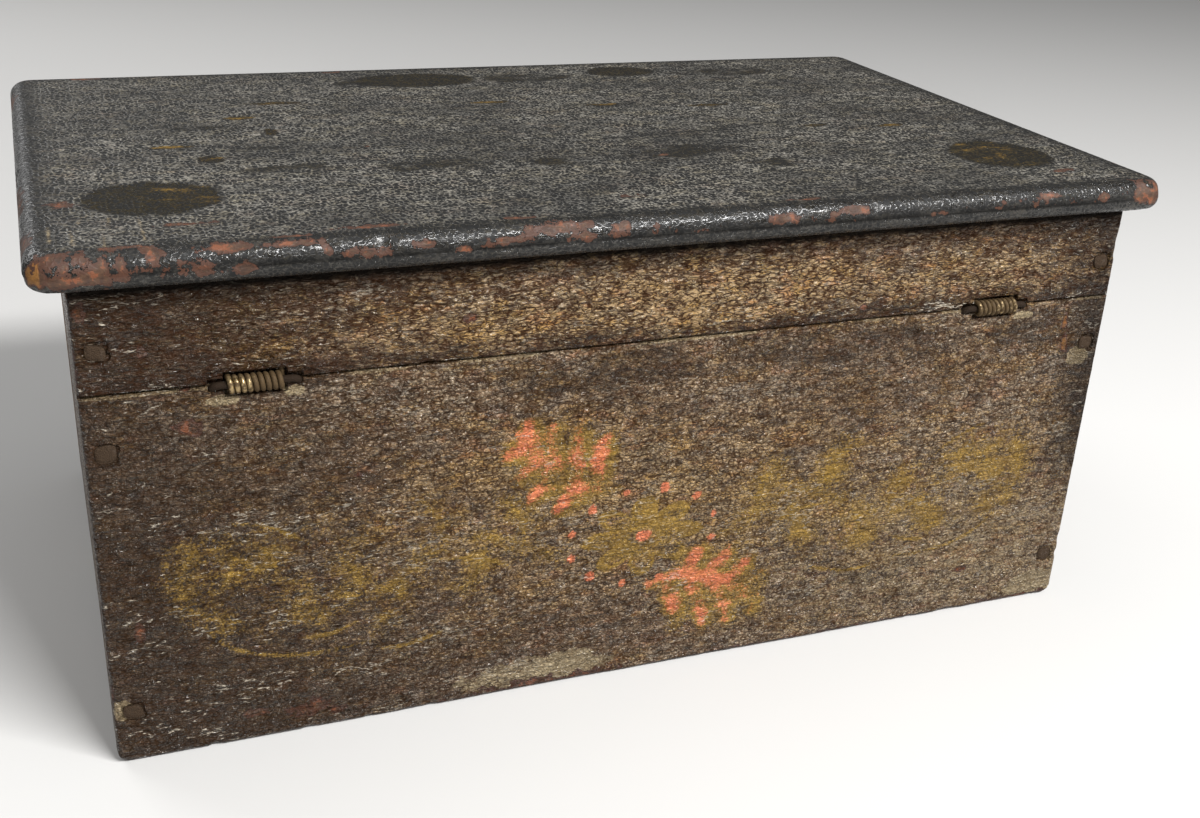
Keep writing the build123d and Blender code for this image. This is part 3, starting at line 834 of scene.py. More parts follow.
@dataclass(frozen=True)
class CrackledPaint:
    """Brushed oil paint on pine, gone to alligator crackle: gloss on the cells, dull dark cracks.

    It gives the eye a mass of small leaning cells that catch the light one by one, tan where the
    top coat is rubbed, with reddish primer and pale wood where it has chipped off.
    """

    # Relief is in millimetres; plateau is how much of a cell is flat on top, mottled and streaky how
    # uneven the cells are, calmed how smooth the sound paint, tinged how strong the patches of colour.
    name: str
    crackle: Crackle
    crack: str
    crack_share: float
    ground: tuple[str, str]
    unworn: str
    dust: str
    dust_share: float
    stain: tuple[str, str]
    relief: float
    roughness: tuple[float, float]
    grain: Grain
    streaky: float = 0.7
    plateau: float = 0.5
    mottled: float = 0.0
    calmed: float = 0.0
    tinged: float = 0.75
    ledges: float = 0.0
    wrinkled: bool = False

    def build(self) -> Material:
        """The material, whose wear and brushwork follow the masks of the piece that wears it.

        Returns:
            The finished material.
        """
        bench = Bench(self.name)
        at = self._signals(bench)
        paint = self._brushwork(bench, at, self._tinges(bench, at, self._coats(bench, at)))
        paint = bench.over(paint, (self._cracks(bench, at), self.crack))
        if self.ledges:
            # painted highlights: pale dashes along the ledges that stand for glints on the paint
            paint = bench.over(paint, (self._painted_glints(bench, at), "#b5ab9a"))
        primer, chipped = self._chips(bench, at)
        # near-black coat: painted shadow under the top board's overhang and on the lower nosing, and darker
        # paint at some ends and in the worn ovals
        coats = (at["soot_and_shade"], "#080706"), (primer, "#42291d"), (chipped, self._wood(bench, at))
        return bench.dress(Base_Color=bench.over(paint, *coats), **self._surface(bench, at, primer))

    def _signals(self, bench: Bench) -> Signals:
        """Lays every mask and pattern that the coats read.

        Args:
            bench: the material.

        Returns:
            The sockets by name: the masks; crest, tilt and tint of the cells, and top, the crest
            made flat; the coordinates drawn out along the grain; and the noises.
        """
        add, coords = bench.add, bench.coords
        at = {name: add(ATTRIBUTE, out="Fac", attribute_name=name) for name in MASK_NAMES}
        at["crest"], at["tilt"], at["tint"] = self.crackle.build(bench)
        if self.wrinkled:  # the skin has puckered up into lines, and the cells are pits
            at["crest"] = add(RANGE, (at["crest"], 0.0, 0.85, 1.0, 0.0), **EASED)
        for share in (2, 30, 50):
            scale = self.grain.stretch(share / 100)
            at[f"drawn_{share}"] = add(MAPPING, {"Vector": coords, "Scale": scale})
        # name, hundredths along the grain, scale per metre, detail, roughness, distortion
        for name, share, *values in (
            ("blotch", 50, 300.0, 4.0, 0.68, 0.0),  # patches of 5 mm
            ("speck", 100, 950.0, 2.0, 0.6, 0.0),  # 1 mm
            ("broad", 50, 28.0, 4.0, 0.5, 0.0),  # 50 mm
            ("lines", 2, 480.0, 3.0, 0.5, 0.0),  # wood lines 2 mm apart
            ("ridges", 30, 560.0, 2.0, 0.5, 0.8),  # brush ridges 6 mm long
            ("ledge", 30, 230.0, 3.0, 0.62, 0.0),  # ledges 15 mm long
        ):
            inputs = dict(zip(("Scale", "Detail", "Roughness", "Distortion"), values))
            at[name] = add(NOISE, {"Vector": at.get(f"drawn_{share}", coords), **inputs})
        at["ledge"] = add(RANGE, (at["ledge"], 0.44, 0.58), **EASED)
        # long cracks run where the ridges are half way up
        away = add(MATH, (at["ridges"], 0.5), **LESS)
        flank = add(RANGE, (add(MATH, (away,), **SIZE), 0.0, 0.06, 0.1), **EASED)
        at["crest"] = add(MATH, (at["crest"], flank), **TIMES)
        at["top"] = add(RANGE, (at["crest"], 0.0, self.plateau))
        return at

    def _coats(self, bench: Bench, at: Signals) -> Socket:
        """Ground colour in two tones, pale dust on the cells, and the stain where it is rubbed.

        Args:
            bench, at: the material and its signals.

        Returns:
            The colour.
        """
        add, top = bench.add, at["top"]
        tone = add(RANGE, (at["blotch"], 0.42, 0.58), **EASED)
        kept = add(MATH, (at["sound"], 0.75), **TIMES)
        body = bench.over(self.ground[0], (tone, self.ground[1]), (kept, self.unworn))
        fine = add(MATH, (at["ridges"], self.streaky, at["speck"]), **ADDED)
        fine = add(MATH, (at["tint"], self.mottled, fine), **ADDED)
        level, wide = 0.5 * (1.0 + self.streaky + self.mottled), 0.12 + 0.22 * self.mottled
        dust = add(RANGE, (fine, level - wide, level + wide, 0.0, self.dust_share), **EASED)
        clean = add(RANGE, (at["sound"], 0.0, 1.0, 1.0, 0.0))
        drift = add(RANGE, (at["broad"], 0.35, 0.62, 0.45), **EASED)
        for share in (top, clean, drift):
            dust = add(MATH, (dust, share), **TIMES)
        clump = add(MATH, (at["speck"], 0.35, at["blotch"]), **ADDED)
        clump = add(MATH, (at["stain"], 0.42, clump), **ADDED)
        stained = add(MATH, (add(RANGE, (clump, 0.74, 1.12), **EASED), at["stain"]), **TIMES)
        return bench.over(body, (dust, self.dust), (stained, bench.over(self.stain[0], (top, self.stain[1]))))

    def _tinges(self, bench: Bench, at: Signals, paint: Socket) -> Socket:
        """The paint gone ochre, blue-grey and red in patches of some 8 mm, each broken into specks.

        Args:
            bench, at: the material and its signals.
            paint: the colour so far.

        Returns:
            The colour.
        """
        patches = {"Vector": at["drawn_50"], "Scale": 120.0, "Detail": 6.0, "Roughness": 0.75}
        shares = bench.add("ShaderNodeSeparateXYZ", (bench.add(NOISE, patches, "Color"),)).node.outputs
        for share, low, filtered in (
            (shares[0], 0.49, (1.0, 0.86, 0.5, 1.0)),
            (shares[1], 0.5, (0.72, 0.78, 0.92, 1.0)),
            (shares[2], 0.53, (1.0, 0.74, 0.64, 1.0)),
        ):
            cover = bench.add(RANGE, (share, low, low + 0.1, 0.0, self.tinged), **EASED)
            inputs = {0: cover, MIX_A: paint, MIX_B: filtered}
            paint = bench.add(MIX, inputs, MIX_OUT, data_type="RGBA", blend_type="MULTIPLY")
        return paint

    def _brushwork(self, bench: Bench, at: Signals, paint: Socket) -> Socket:
        """Thin ornament paint, dry brushed: the weaker the mask, the fewer specks take paint.

        Args:
            bench, at: the material and its signals.
            paint: the colour so far.

        Returns:
            The colour.
        """
        add = bench.add
        streak = add(RANGE, (at["lines"], 0.3, 0.7))
        hold = add(RANGE, (at["top"], 0.0, 1.0, 0.72, 1.0))
        for name, shade, light in (
            ("khaki", "#6f5f47", "#9a8a6c"),
            ("mustard", "#69501f", "#987834"),
            ("salmon", "#a9553a", "#da8058"),
        ):
            laid = add(MATH, (at["speck"], 1.1, at[name]), **ADDED)
            laid = add(MATH, (at["blotch"], 0.8, laid), **ADDED)
            share = add(RANGE, (laid, 1.08, 1.62), **EASED)
            for cover in (hold, add(RANGE, (at[name], 0.02, 0.2))):
                share = add(MATH, (share, cover), **TIMES)
            paint = bench.over(paint, (share, bench.over(shade, (streak, light))))
        return paint

    def _cracks(self, bench: Bench, at: Signals) -> Socket:
        """Cover by the dark cracks, which paint laid over them and silt have partly filled.

        Args:
            bench, at: the material and its signals.

        Returns:
            The cover.
        """
        add = bench.add
        filled = add(MATH, (at["mustard"], at["salmon"]), **MOST)
        filled = add(MATH, (filled, add(RANGE, (at["khaki"], 0.0, 0.4, 0.0, 0.5))), **MOST)
        share = add(RANGE, (filled, 0.0, 1.0, self.crack_share, 0.25 * self.crack_share))
        return add(RANGE, (at["top"], 0.0, 1.0, share, 0.0))

    def _painted_glints(self, bench: Bench, at: Signals) -> Socket:
        """Cover by the painted highlights: pale dashes along the ledges that stand for glints, most of them
        where the paint is sound.

        Args:
            bench, at: the material and its signals.

        Returns:
            The cover.
        """
        add, coords = bench.add, at["drawn_30"]
        groups = add(NOISE, {"Vector": coords, "Scale": 75.0, "Detail": 2.0})
        dashes = add(NOISE, {"Vector": coords, "Scale": 900.0, "Detail": 1.0})
        dashes = add(MATH, (groups, 1.3, dashes), **ADDED)
        dashes = add(RANGE, (dashes, 1.24, 1.38), **EASED)
        level = add(MATH, (add(MATH, (at["ledge"], 0.5), **LESS),), **SIZE)
        step = add(RANGE, (level, 0.05, 0.3, 1.0, 0.0), **EASED)
        for share in (dashes, add(RANGE, (at["sound"], 0.0, 1.0, 0.2, 0.75))):
            step = add(MATH, (step, share), **TIMES)
        return step

    @staticmethod
    def _chips(bench: Bench, at: Signals) -> list[Socket]:
        """The soft mask of the chips, its coastline broken up by 6 mm and 1 mm noise.

        Args:
            bench, at: the material and its signals.

        Returns:
            Cover by primer, and by wood.
        """
        add, bare = bench.add, at["bare"]
        coast = add(NOISE, {"Vector": bench.coords, "Scale": 170.0, "Detail": 4.0, "Roughness": 0.62})
        broken = add(MATH, (coast, 2.1, bare), **ADDED)
        broken = add(MATH, (at["speck"], 0.3, broken), **ADDED)
        there = add(RANGE, (bare, 0.06, 0.16))
        ramps = [add(RANGE, (broken, *ends), **EASED) for ends in ((1.6, 1.64), (1.8, 1.88))]
        return [add(MATH, (ramp, there), **TIMES) for ramp in ramps]

    @staticmethod
    def _wood(bench: Bench, at: Signals) -> Socket:
        """Pine under the chips: pinkish and pale in patches, ochre where end grain shows.

        Args:
            bench, at: the material and its signals.

        Returns:
            The colour.
        """
        add = bench.add
        patches = add(NOISE, {"Vector": bench.coords, "Scale": 210.0, "Detail": 4.0, "Roughness": 0.65})
        pale = add(RANGE, (patches, 0.38, 0.68))
        dark = add(RANGE, (at["lines"], 0.52, 0.75, 0.0, 0.7))
        red = add(MATH, (add(RANGE, (patches, 0.52, 0.58), **EASED), 0.7), **TIMES)
        coats = (pale, "#5b412d"), (red, "#713f27"), (at["ochre"], "#7d5629"), (dark, "#211611")
        return bench.over("#39261c", *coats)

    def _surface(self, bench: Bench, at: Signals, bare: Socket) -> dict[str, Any]:
        """Relief and gloss: leaning glossy cells, dull cracks, and dull wood a coat lower.

        Args:
            bench, at: the material and its signals.
            bare: cover by primer or wood.

        Returns:
            What the main shader takes for them.
        """
        add, sound, crest = bench.add, at["sound"], at["crest"]
        height = crest
        for name, share in (
            ("tilt", 0.7 + 2.2 * self.mottled),
            ("ridges", 1.2 + 1.2 * self.streaky),
            ("speck", 0.35),
            ("ledge", self.ledges),
        ):
            height = add(MATH, (at[name], share, height), **ADDED)
        calm = add(RANGE, (sound, 0.0, 1.0, 1.0, 1.0 - self.calmed))
        height = add(MATH, (bare, -1.0, add(MATH, (height, calm), **TIMES)), **ADDED)
        gloss = add(RANGE, (at["blotch"], 0.3, 0.7, *self.roughness))
        gloss = add(MATH, (sound, -0.16 * abs(self.calmed), gloss), **ADDED)
        worn = add(MATH, (bare, 0.35, gloss), use_clamp=True, **ADDED)
        dull = add(RANGE, (crest, 0.0, 0.35, 0.7, worn))
        # less specular where the near-black coat paints shadow
        sheen = add(RANGE, (at["soot_and_shade"], 0.0, 1.0, 0.5, 0.05))
        if not self.wrinkled:
            sheen = add(RANGE, (crest, 0.0, 0.45, 0.06, sheen))
        return dict(
            Normal=add(BUMP, {"Height": height, "Distance": self.relief * MM, "Strength": 1.0}),
            Roughness=add(MATH, (dull, at["soot_and_shade"]), **MOST),
            Specular_IOR_Level=sheen,
            IOR=1.42,
        )


@dataclass(frozen=True)
class BarePine:
    """Planed pine left without paint and darkened by age: soft bands along the grain, dull."""

    name: str
    grain: Grain

    def build(self) -> Material:
        """The material, with early and late wood about 4 mm apart and grime in patches.

        Returns:
            The finished material.
        """
        bench = Bench(self.name)
        add = bench.add
        drawn = add(MAPPING, {"Vector": bench.coords, "Scale": self.grain.stretch(0.02)})
        bands = add(NOISE, {"Vector": drawn, "Scale": 250.0, "Detail": 3.0, "Distortion": 0.6})
        fibre = add(NOISE, {"Vector": drawn, "Scale": 1500.0, "Detail": 2.0})
        grime = add(NOISE, {"Vector": bench.coords, "Scale": 14.0, "Detail": 5.0, "Roughness": 0.62})
        late = add(RANGE, (bands, 0.5, 0.66, 0.0, 0.75), **EASED)
        pore = add(RANGE, (fibre, 0.55, 0.8, 0.0, 0.5))
        soil = add(RANGE, (grime, 0.38, 0.7, 0.0, 0.75))
        relief = add(MATH, (fibre, 0.4, bands), **ADDED)
        return bench.dress(
            Base_Color=bench.over("#86694a", (late, "#694a2f"), (pore, "#54402b"), (soil, "#463728")),
            Normal=add(BUMP, {"Height": relief, "Distance": 0.25 * MM, "Strength": 0.8}),
            Roughness=0.72,
        )


@dataclass(frozen=True)
class OldMetal:
    """Small metal work: drawn, filed or forged, with a coat of rust, tarnish or paint in patches.

    It gives the eye a dull darkened metal whose rubbed places shine.
    """

    name: str
    metal: str
    coat: tuple[str, str]
    coat_share: float
    patch: float
    metallic: float
    roughness: tuple[float, float]
    relief: float

    def build(self) -> Material:
        """The material; its patches are `patch` millimetres across.

        Returns:
            The finished material.
        """
        bench = Bench(self.name)
        add, per_patch = bench.add, 1.0 / (self.patch * MM)
        grimy = add(ATTRIBUTE, out="Fac", attribute_name="grime")
        patches = {"Vector": bench.coords, "Scale": per_patch, "Detail": 4.0, "Roughness": 0.65}
        speck = add(NOISE, {"Vector": bench.coords, "Scale": 4.0 * per_patch, "Detail": 3.0})
        more = add(MATH, (grimy, 0.5, add(NOISE, patches)), **ADDED)
        cover = add(RANGE, (more, *(low - 0.4 * self.coat_share for low in (0.56, 0.78))), **EASED)
        metallic, roughness, specular = (
            add(RANGE, (cover, 0.0, 1.0, *ends))
            for ends in ((self.metallic, 0.15 * self.metallic), self.roughness, (0.5, 0.12))
        )
        return bench.dress(
            Base_Color=bench.over(self.metal, (cover, bench.over(self.coat[0], (speck, self.coat[1])))),
            Metallic=metallic,
            Roughness=roughness,
            Specular_IOR_Level=specular,
            Normal=add(BUMP, {"Height": speck, "Distance": self.relief * MM, "Strength": 1.0}),
        )


class Finishes:
    """Every finish on the box, each built once."""

    def __init__(self) -> None:
        """Builds the paints, the two ways of the pine, and the metals."""
        along, across = Grain
        brown = CrackledPaint(
            "brown_alligatored_paint",
            Crackle((2.2, 2.2, 1.8), fray=0.95, crumbled=0.3),
            crack="#2b1b0d",
            crack_share=0.8,
            ground=("#3b2918", "#5e4630"),
            unworn="#1c1511",
            dust="#a29078",
            dust_share=0.7,
            stain=("#4f371e", "#957b56"),
            relief=0.8,
            roughness=(0.13, 0.27),
            grain=along,
            streaky=0.4,
            mottled=0.5,
            calmed=-0.3,
            ledges=1.1,
        )
        ridged = replace(
            brown,
            name="brown_ridged_paint",
            crackle=Crackle((4.2, 1.9, 1.7), drift=1.2, fray=1.0, crumbled=0.25),
            crack="#2b180a",
            crack_share=0.93,
            streaky=1.1,
            mottled=0.3,
            dust="#9c8a70",
        )
        black = CrackledPaint(
            "black_wrinkled_paint",
            Crackle((2.3, 3.3, 2.0), fray=0.6),
            crack="#090908",
            crack_share=0.95,
            ground=("#1d1b18", "#35322d"),
            unworn="#0e0d0c",
            dust="#969186",
            dust_share=1.0,
            stain=("#17120a", "#352c12"),
            relief=0.36,
            roughness=(0.3, 0.45),
            grain=along,
            streaky=0.15,
            plateau=0.8,
            calmed=0.84,
            tinged=0.3,
            wrinkled=True,
        )
        self.brown, self.brown_rails, self.black = (paint.build() for paint in (brown, ridged, black))
        self.brown_ends = replace(brown, name="brown_alligatored_paint_ends", grain=across).build()
        self.pine = BarePine("aged_bare_pine", along).build()
        self.pine_ends = BarePine("aged_bare_pine_ends", across).build()
        # name, metal, coat in two tones, its share, patch, metallic, roughness bare and coated, relief
        self.nail_iron, self.pin_wire, self.brass, self.lock_iron, self.spring = (
            OldMetal(*values).build()
            for values in (
                ("rusted_cut_nail", "#44362a", ("#1d1610", "#4a3a2b"), 0.8, 2.0, 0.2, (0.45, 0.7), 0.8),
                ("painted_over_wire", "#2d2217", ("#17100a", "#2d2116"), 0.95, 1.6, 0.1, (0.5, 0.7), 0.4),
                ("tarnished_brass_wire", "#a8926b", ("#2c231b", "#5c4a31"), 0.4, 2.0, 1.0, (0.28, 0.6), 0.05),
                ("browned_sheet_iron", "#554e46", ("#2f241d", "#503a2b"), 0.7, 5.0, 0.7, (0.5, 0.75), 0.06),
                ("blued_spring_steel", "#5a5f6a", ("#33302f", "#574a40"), 0.3, 5.0, 1.0, (0.3, 0.6), 0.02),
            )
        )


# ---- wear and brushwork
@dataclass(frozen=True)
class Wear:
    """How a board has aged: all its relief goes inwards, so it stays inside its drawn size.

    Its finishes are its paint and its bare wood. Ridge, sway, nick and chip are the depths of the
    relief in millimetres, and edge_share is how much of the paint has gone along the arrises.
    """

    seed: int
    finishes: tuple[Material, Material]
    grain: Grain = Grain.ALONG_X
    ridge: float = 0.09
    sway: float = 0.2
    nick: float = 0.9
    chip: float = 0.3
    edge_share: float = 0.1

    @staticmethod
    def _edge_gap(board: Board, skin: Skin) -> Array:
        """Distance of each point from the nearest arris of the outer face, also down the edges."""
        gap = np.min([skin.u, board.size[0] - skin.u, skin.v, board.size[1] - skin.v], axis=0)
        return np.where(skin.face, gap, np.abs(skin.d - board.radii[0]))

    def _edge_bare(self, skin: Skin, gap: Array) -> Array:
        """Paint lost in spots along the arrises, more where slow noise says so."""
        slow, quick = skin.cloud((38, 38, 38), self.seed + 1, 2), skin.cloud((5, 5, 4), self.seed + 2, 3)
        return np.clip(self.edge_share - gap / 5.0 + 0.5 * slow + 0.45 * quick, 0.0, 1.0)

    def _depth(self, skin: Skin, gap: Array, bare: Array) -> Array:
        """Relief in millimetres inwards: grain ridges, slow sway, nicks at the arrises and chips.

        Ridges are noise drawn out about 28 times along the grain; nicks are the peaks of a noise
        of 9 mm cells within 5 mm of an arris; a chip is one coat deep.

        Args:
            skin: the board's skin.
            gap: distance of each point from the nearest arris.
            bare: how bare of paint each point is.

        Returns:
            The depth at each point.
        """
        drawn = 2.6 / np.array(self.grain.stretch(0.035))
        ridges = self.ridge * (1.0 + skin.cloud(drawn, self.seed + 3, 2))
        sway = self.sway * (1.0 + skin.cloud((120, 120, 70), self.seed + 4))
        peaks = np.clip(skin.cloud((9, 9, 8), self.seed + 5, 2) - 0.3, 0.0, 1.0)
        nicks = smooth(-gap, -5.0, -0.5) * self.nick * peaks / 0.5
        total = ridges + sway + nicks + self.chip * smooth(bare, 0.45, 0.65)
        return total * np.choose(skin.zone, [1.0, 0.5, 0.0])

    def build(self, board: Board, skin: Skin, masks: Masks) -> None:
        """Wears a board's skin, makes its mesh and puts it in place of the part it stands for.

        Args:
            board: the board.
            skin: its skin.
            masks: brushwork and wear for each point, by attribute name.
        """
        gap = self._edge_gap(board, skin)
        bare = np.clip(np.maximum(self._edge_bare(skin, gap), masks.get("bare", 0.0)), 0.0, 1.0)
        masks = {name: np.zeros(len(bare)) for name in MASK_NAMES} | masks | {"bare": bare}
        points = skin.points - skin.normals() * self._depth(skin, gap, bare)[:, None]
        middles, depths = (
            np.concatenate([place[faces].mean(1) for faces in (skin.quads, skin.tris)])
            for place in (skin.points, skin.d)
        )
        slots = board.shows_wood(middles, depths).astype(int)
        piece = make_object(board.name, (points, skin.quads, skin.tris), self.finishes, slots, masks)
        settle(piece, board.node, board.body, board.slot)


@dataclass
class Ornament:
    """Flower and leaf sprays painted by hand on the hinge side, in s = -x and z."""

    centre: Pair = (-2.0, 70.0)
    flower: Pair = (31.0, 21.0)
    petals: int = 8
    dots: int = 12

    def _spray(self, root: Pair, angle: float, reach: float) -> list[Stroke]:
        """One spray: a curved rib with leaves fanned to both sides, smaller towards its tip.

        Args:
            root: where it starts.
            angle: degrees from the s axis.
            reach: length of its rib.

        Returns:
            Its strokes.
        """
        turn = np.radians(angle)
        strokes = [leaf(root, reach, angle, 0.18, 9.0)]
        for part, fan, size in ((0.12, 62, 0.42), (0.3, 52, 0.46), (0.5, 44, 0.4), (0.7, 34, 0.34)):
            at = (root[0] + part * reach * np.cos(turn), root[1] + part * reach * np.sin(turn))
            lift = 0.22 * reach * part * (1 - part)
            at = (at[0] - lift * np.sin(turn), at[1] + lift * np.cos(turn))
            for way in (-1, 1):
                strokes.append(leaf(at, size * reach, angle + way * fan, -0.2 * way, 8.5))
        return strokes

    def _vine(self, side: int) -> list[Stroke]:
        """Winding stem from the flower towards one end, with leaves and a curl at its tip.

        Args:
            side: 1 or -1, which end.

        Returns:
            Its strokes.
        """
        knots = ((38, -4), (80, 12), (122, -8), (160, 8), (188, 24), (196, 0), (176, -12))
        line = [np.array((self.centre[0] + side * a, self.centre[1] + b)) for a, b in knots]
        strokes = []
        for k, (start, end) in enumerate(zip(line[:-1], line[1:])):
            before, after = line[max(k - 1, 0)], line[min(k + 2, len(line) - 1)]
            pulls = (start + (end - before) / 6, end - (after - start) / 6)
            strokes.append(Stroke((tuple(start), tuple(end)), (tuple(pulls[0]), tuple(pulls[1])), 4.2))
        rise = list(zip(*knots[:5]))
        fans = ((70, 26), (-64, 25), (66, 27), (-60, 24), (58, 22), (-55, 20), (60, 18), (-62, 17))
        for k, (fan, size) in enumerate(fans):
            along = 44 + 150 * (0.08 + 0.115 * k)
            root = (self.centre[0] + side * along, self.centre[1] + np.interp(along, *rise))
            angle = fan if side > 0 else 180 - fan
            strokes.append(leaf(root, size, angle, 0.22 * np.sign(fan) * side, 6.5))
        return strokes

    def _flicks(self, side: int) -> list[Stroke]:
        """Thin quick strokes laid over a vine with the tip of the brush.

        Args:
            side: 1 or -1, which end.

        Returns:
            The strokes.
        """
        at, turn = np.array(self.centre), np.array((side, 1))
        # two ends, two pulls and the width of each
        rows = (
            ((186, -16), (118, -30), (176, -30), (150, -36), 2.0),
            ((178, 33), (146, 20), (168, 34), (156, 28), 1.6),
            ((120, -34), (86, -30), (108, -38), (98, -34), 1.8),
            ((150, -24), (128, -20), (142, -25), (136, -24), 1.6),
            ((92, 2), (60, -6), (80, 4), (70, 0), 2.0),
        )
        strokes = []
        for *knots, width in rows:
            start, end, first, last = (tuple(at + turn * knot) for knot in knots)
            strokes.append(Stroke((start, end), (first, last), width, 0.8))
        return strokes

    def masks(self, s: Array, z: Array, ragged: Array) -> tuple[Array, Array]:
        """Cover by mustard and by salmon paint.

        Args:
            s, z: the two coordinates of each place.
            ragged: noise of about -1 to 1 for each place.

        Returns:
            The two covers at each place of the face.
        """
        (at_s, at_z), (wide, high) = self.centre, self.flower
        sponge = 0.5 + 0.9 * cloud(np.stack([s, np.zeros(len(s)), z], 1), (13, 1, 8), 77, 3)
        hazes = most(glow, s, z, ((-135, 72, 58, 30), (100, 66, 80, 30), (-2, 70, 44, 26)))
        mustard, salmon = [(0.1 + 0.22 * sponge) * np.sqrt(hazes)], []
        full = 1.0 + 0.5 * smooth(s, 20.0, 80.0)
        for stroke in (*self._vine(-1), *self._vine(1)):
            broad = replace(stroke, width=stroke.width + 10.0, feather=13.0)
            mustard.append((0.3 + 0.35 * sponge) * full * broad.mask(s, z, 4.0 * ragged))
            fine = replace(stroke, width=0.45 * stroke.width, feather=1.0)
            mustard.append((0.3 + 0.6 * sponge) * full * fine.mask(s, z, 1.5 * ragged))
        for stroke in (*self._flicks(-1), *self._flicks(1)):
            mustard.append((0.55 + 0.5 * sponge) * stroke.mask(s, z, 0.6 * ragged))
        upper = self._spray((at_s - 15, at_z + 26), 145, 54)
        for stroke in (*upper, *self._spray((at_s + 4, at_z - 25), -17, 58)):
            halo = replace(stroke, width=stroke.width + 6.0, feather=5.0)
            mustard.append((0.5 + 0.5 * sponge) * halo.mask(s - 1.5, z + 0.8, 3.0 * ragged))
            core = replace(stroke, width=stroke.width - 1.5, feather=3.0)
            salmon.append((0.1 + 0.8 * sponge) * core.mask(s, z, 4.0 * ragged))
        a, b = (s - at_s) / wide, (z - at_z) / high
        span, angle = np.hypot(a, b), np.arctan2(b, a)
        lobe = 0.42 + 0.5 * np.abs(np.cos(angle * self.petals / 2)) ** 0.7
        petal = smooth(lobe - span + 0.05 * ragged, -0.05, 0.08) * smooth(span, 0.16, 0.24)
        rim = smooth(0.07 - np.abs(lobe - 0.05 - span), -0.03, 0.02) * smooth(span, 0.2, 0.3)
        mustard.append((0.3 + 0.45 * sponge) * petal + 0.5 * rim)
        salmon.append(smooth(0.13 - span + 0.02 * ragged, 0.0, 0.03))
        for k in range(self.dots):
            turn = 2 * np.pi * (k + 0.5) / self.dots
            dot_s, dot_z = at_s + 1.12 * wide * np.cos(turn), at_z + 1.12 * high * np.sin(turn)
            size = 1.6 + 0.9 * ((k * 7) % 5) / 4
            salmon.append(smooth(size - np.hypot(s - dot_s, z - dot_z) + 0.3 * ragged, -0.2, 0.5))
        return tuple(np.maximum(np.max(layers, axis=0), 0.0) for layers in (mustard, salmon))


# ---- the painted boards
def haze(a: Array, b: Array, spot: Sequence[float]) -> Array:
    """A glow with longer tails: its square root."""
    return np.sqrt(glow(a, b, spot))


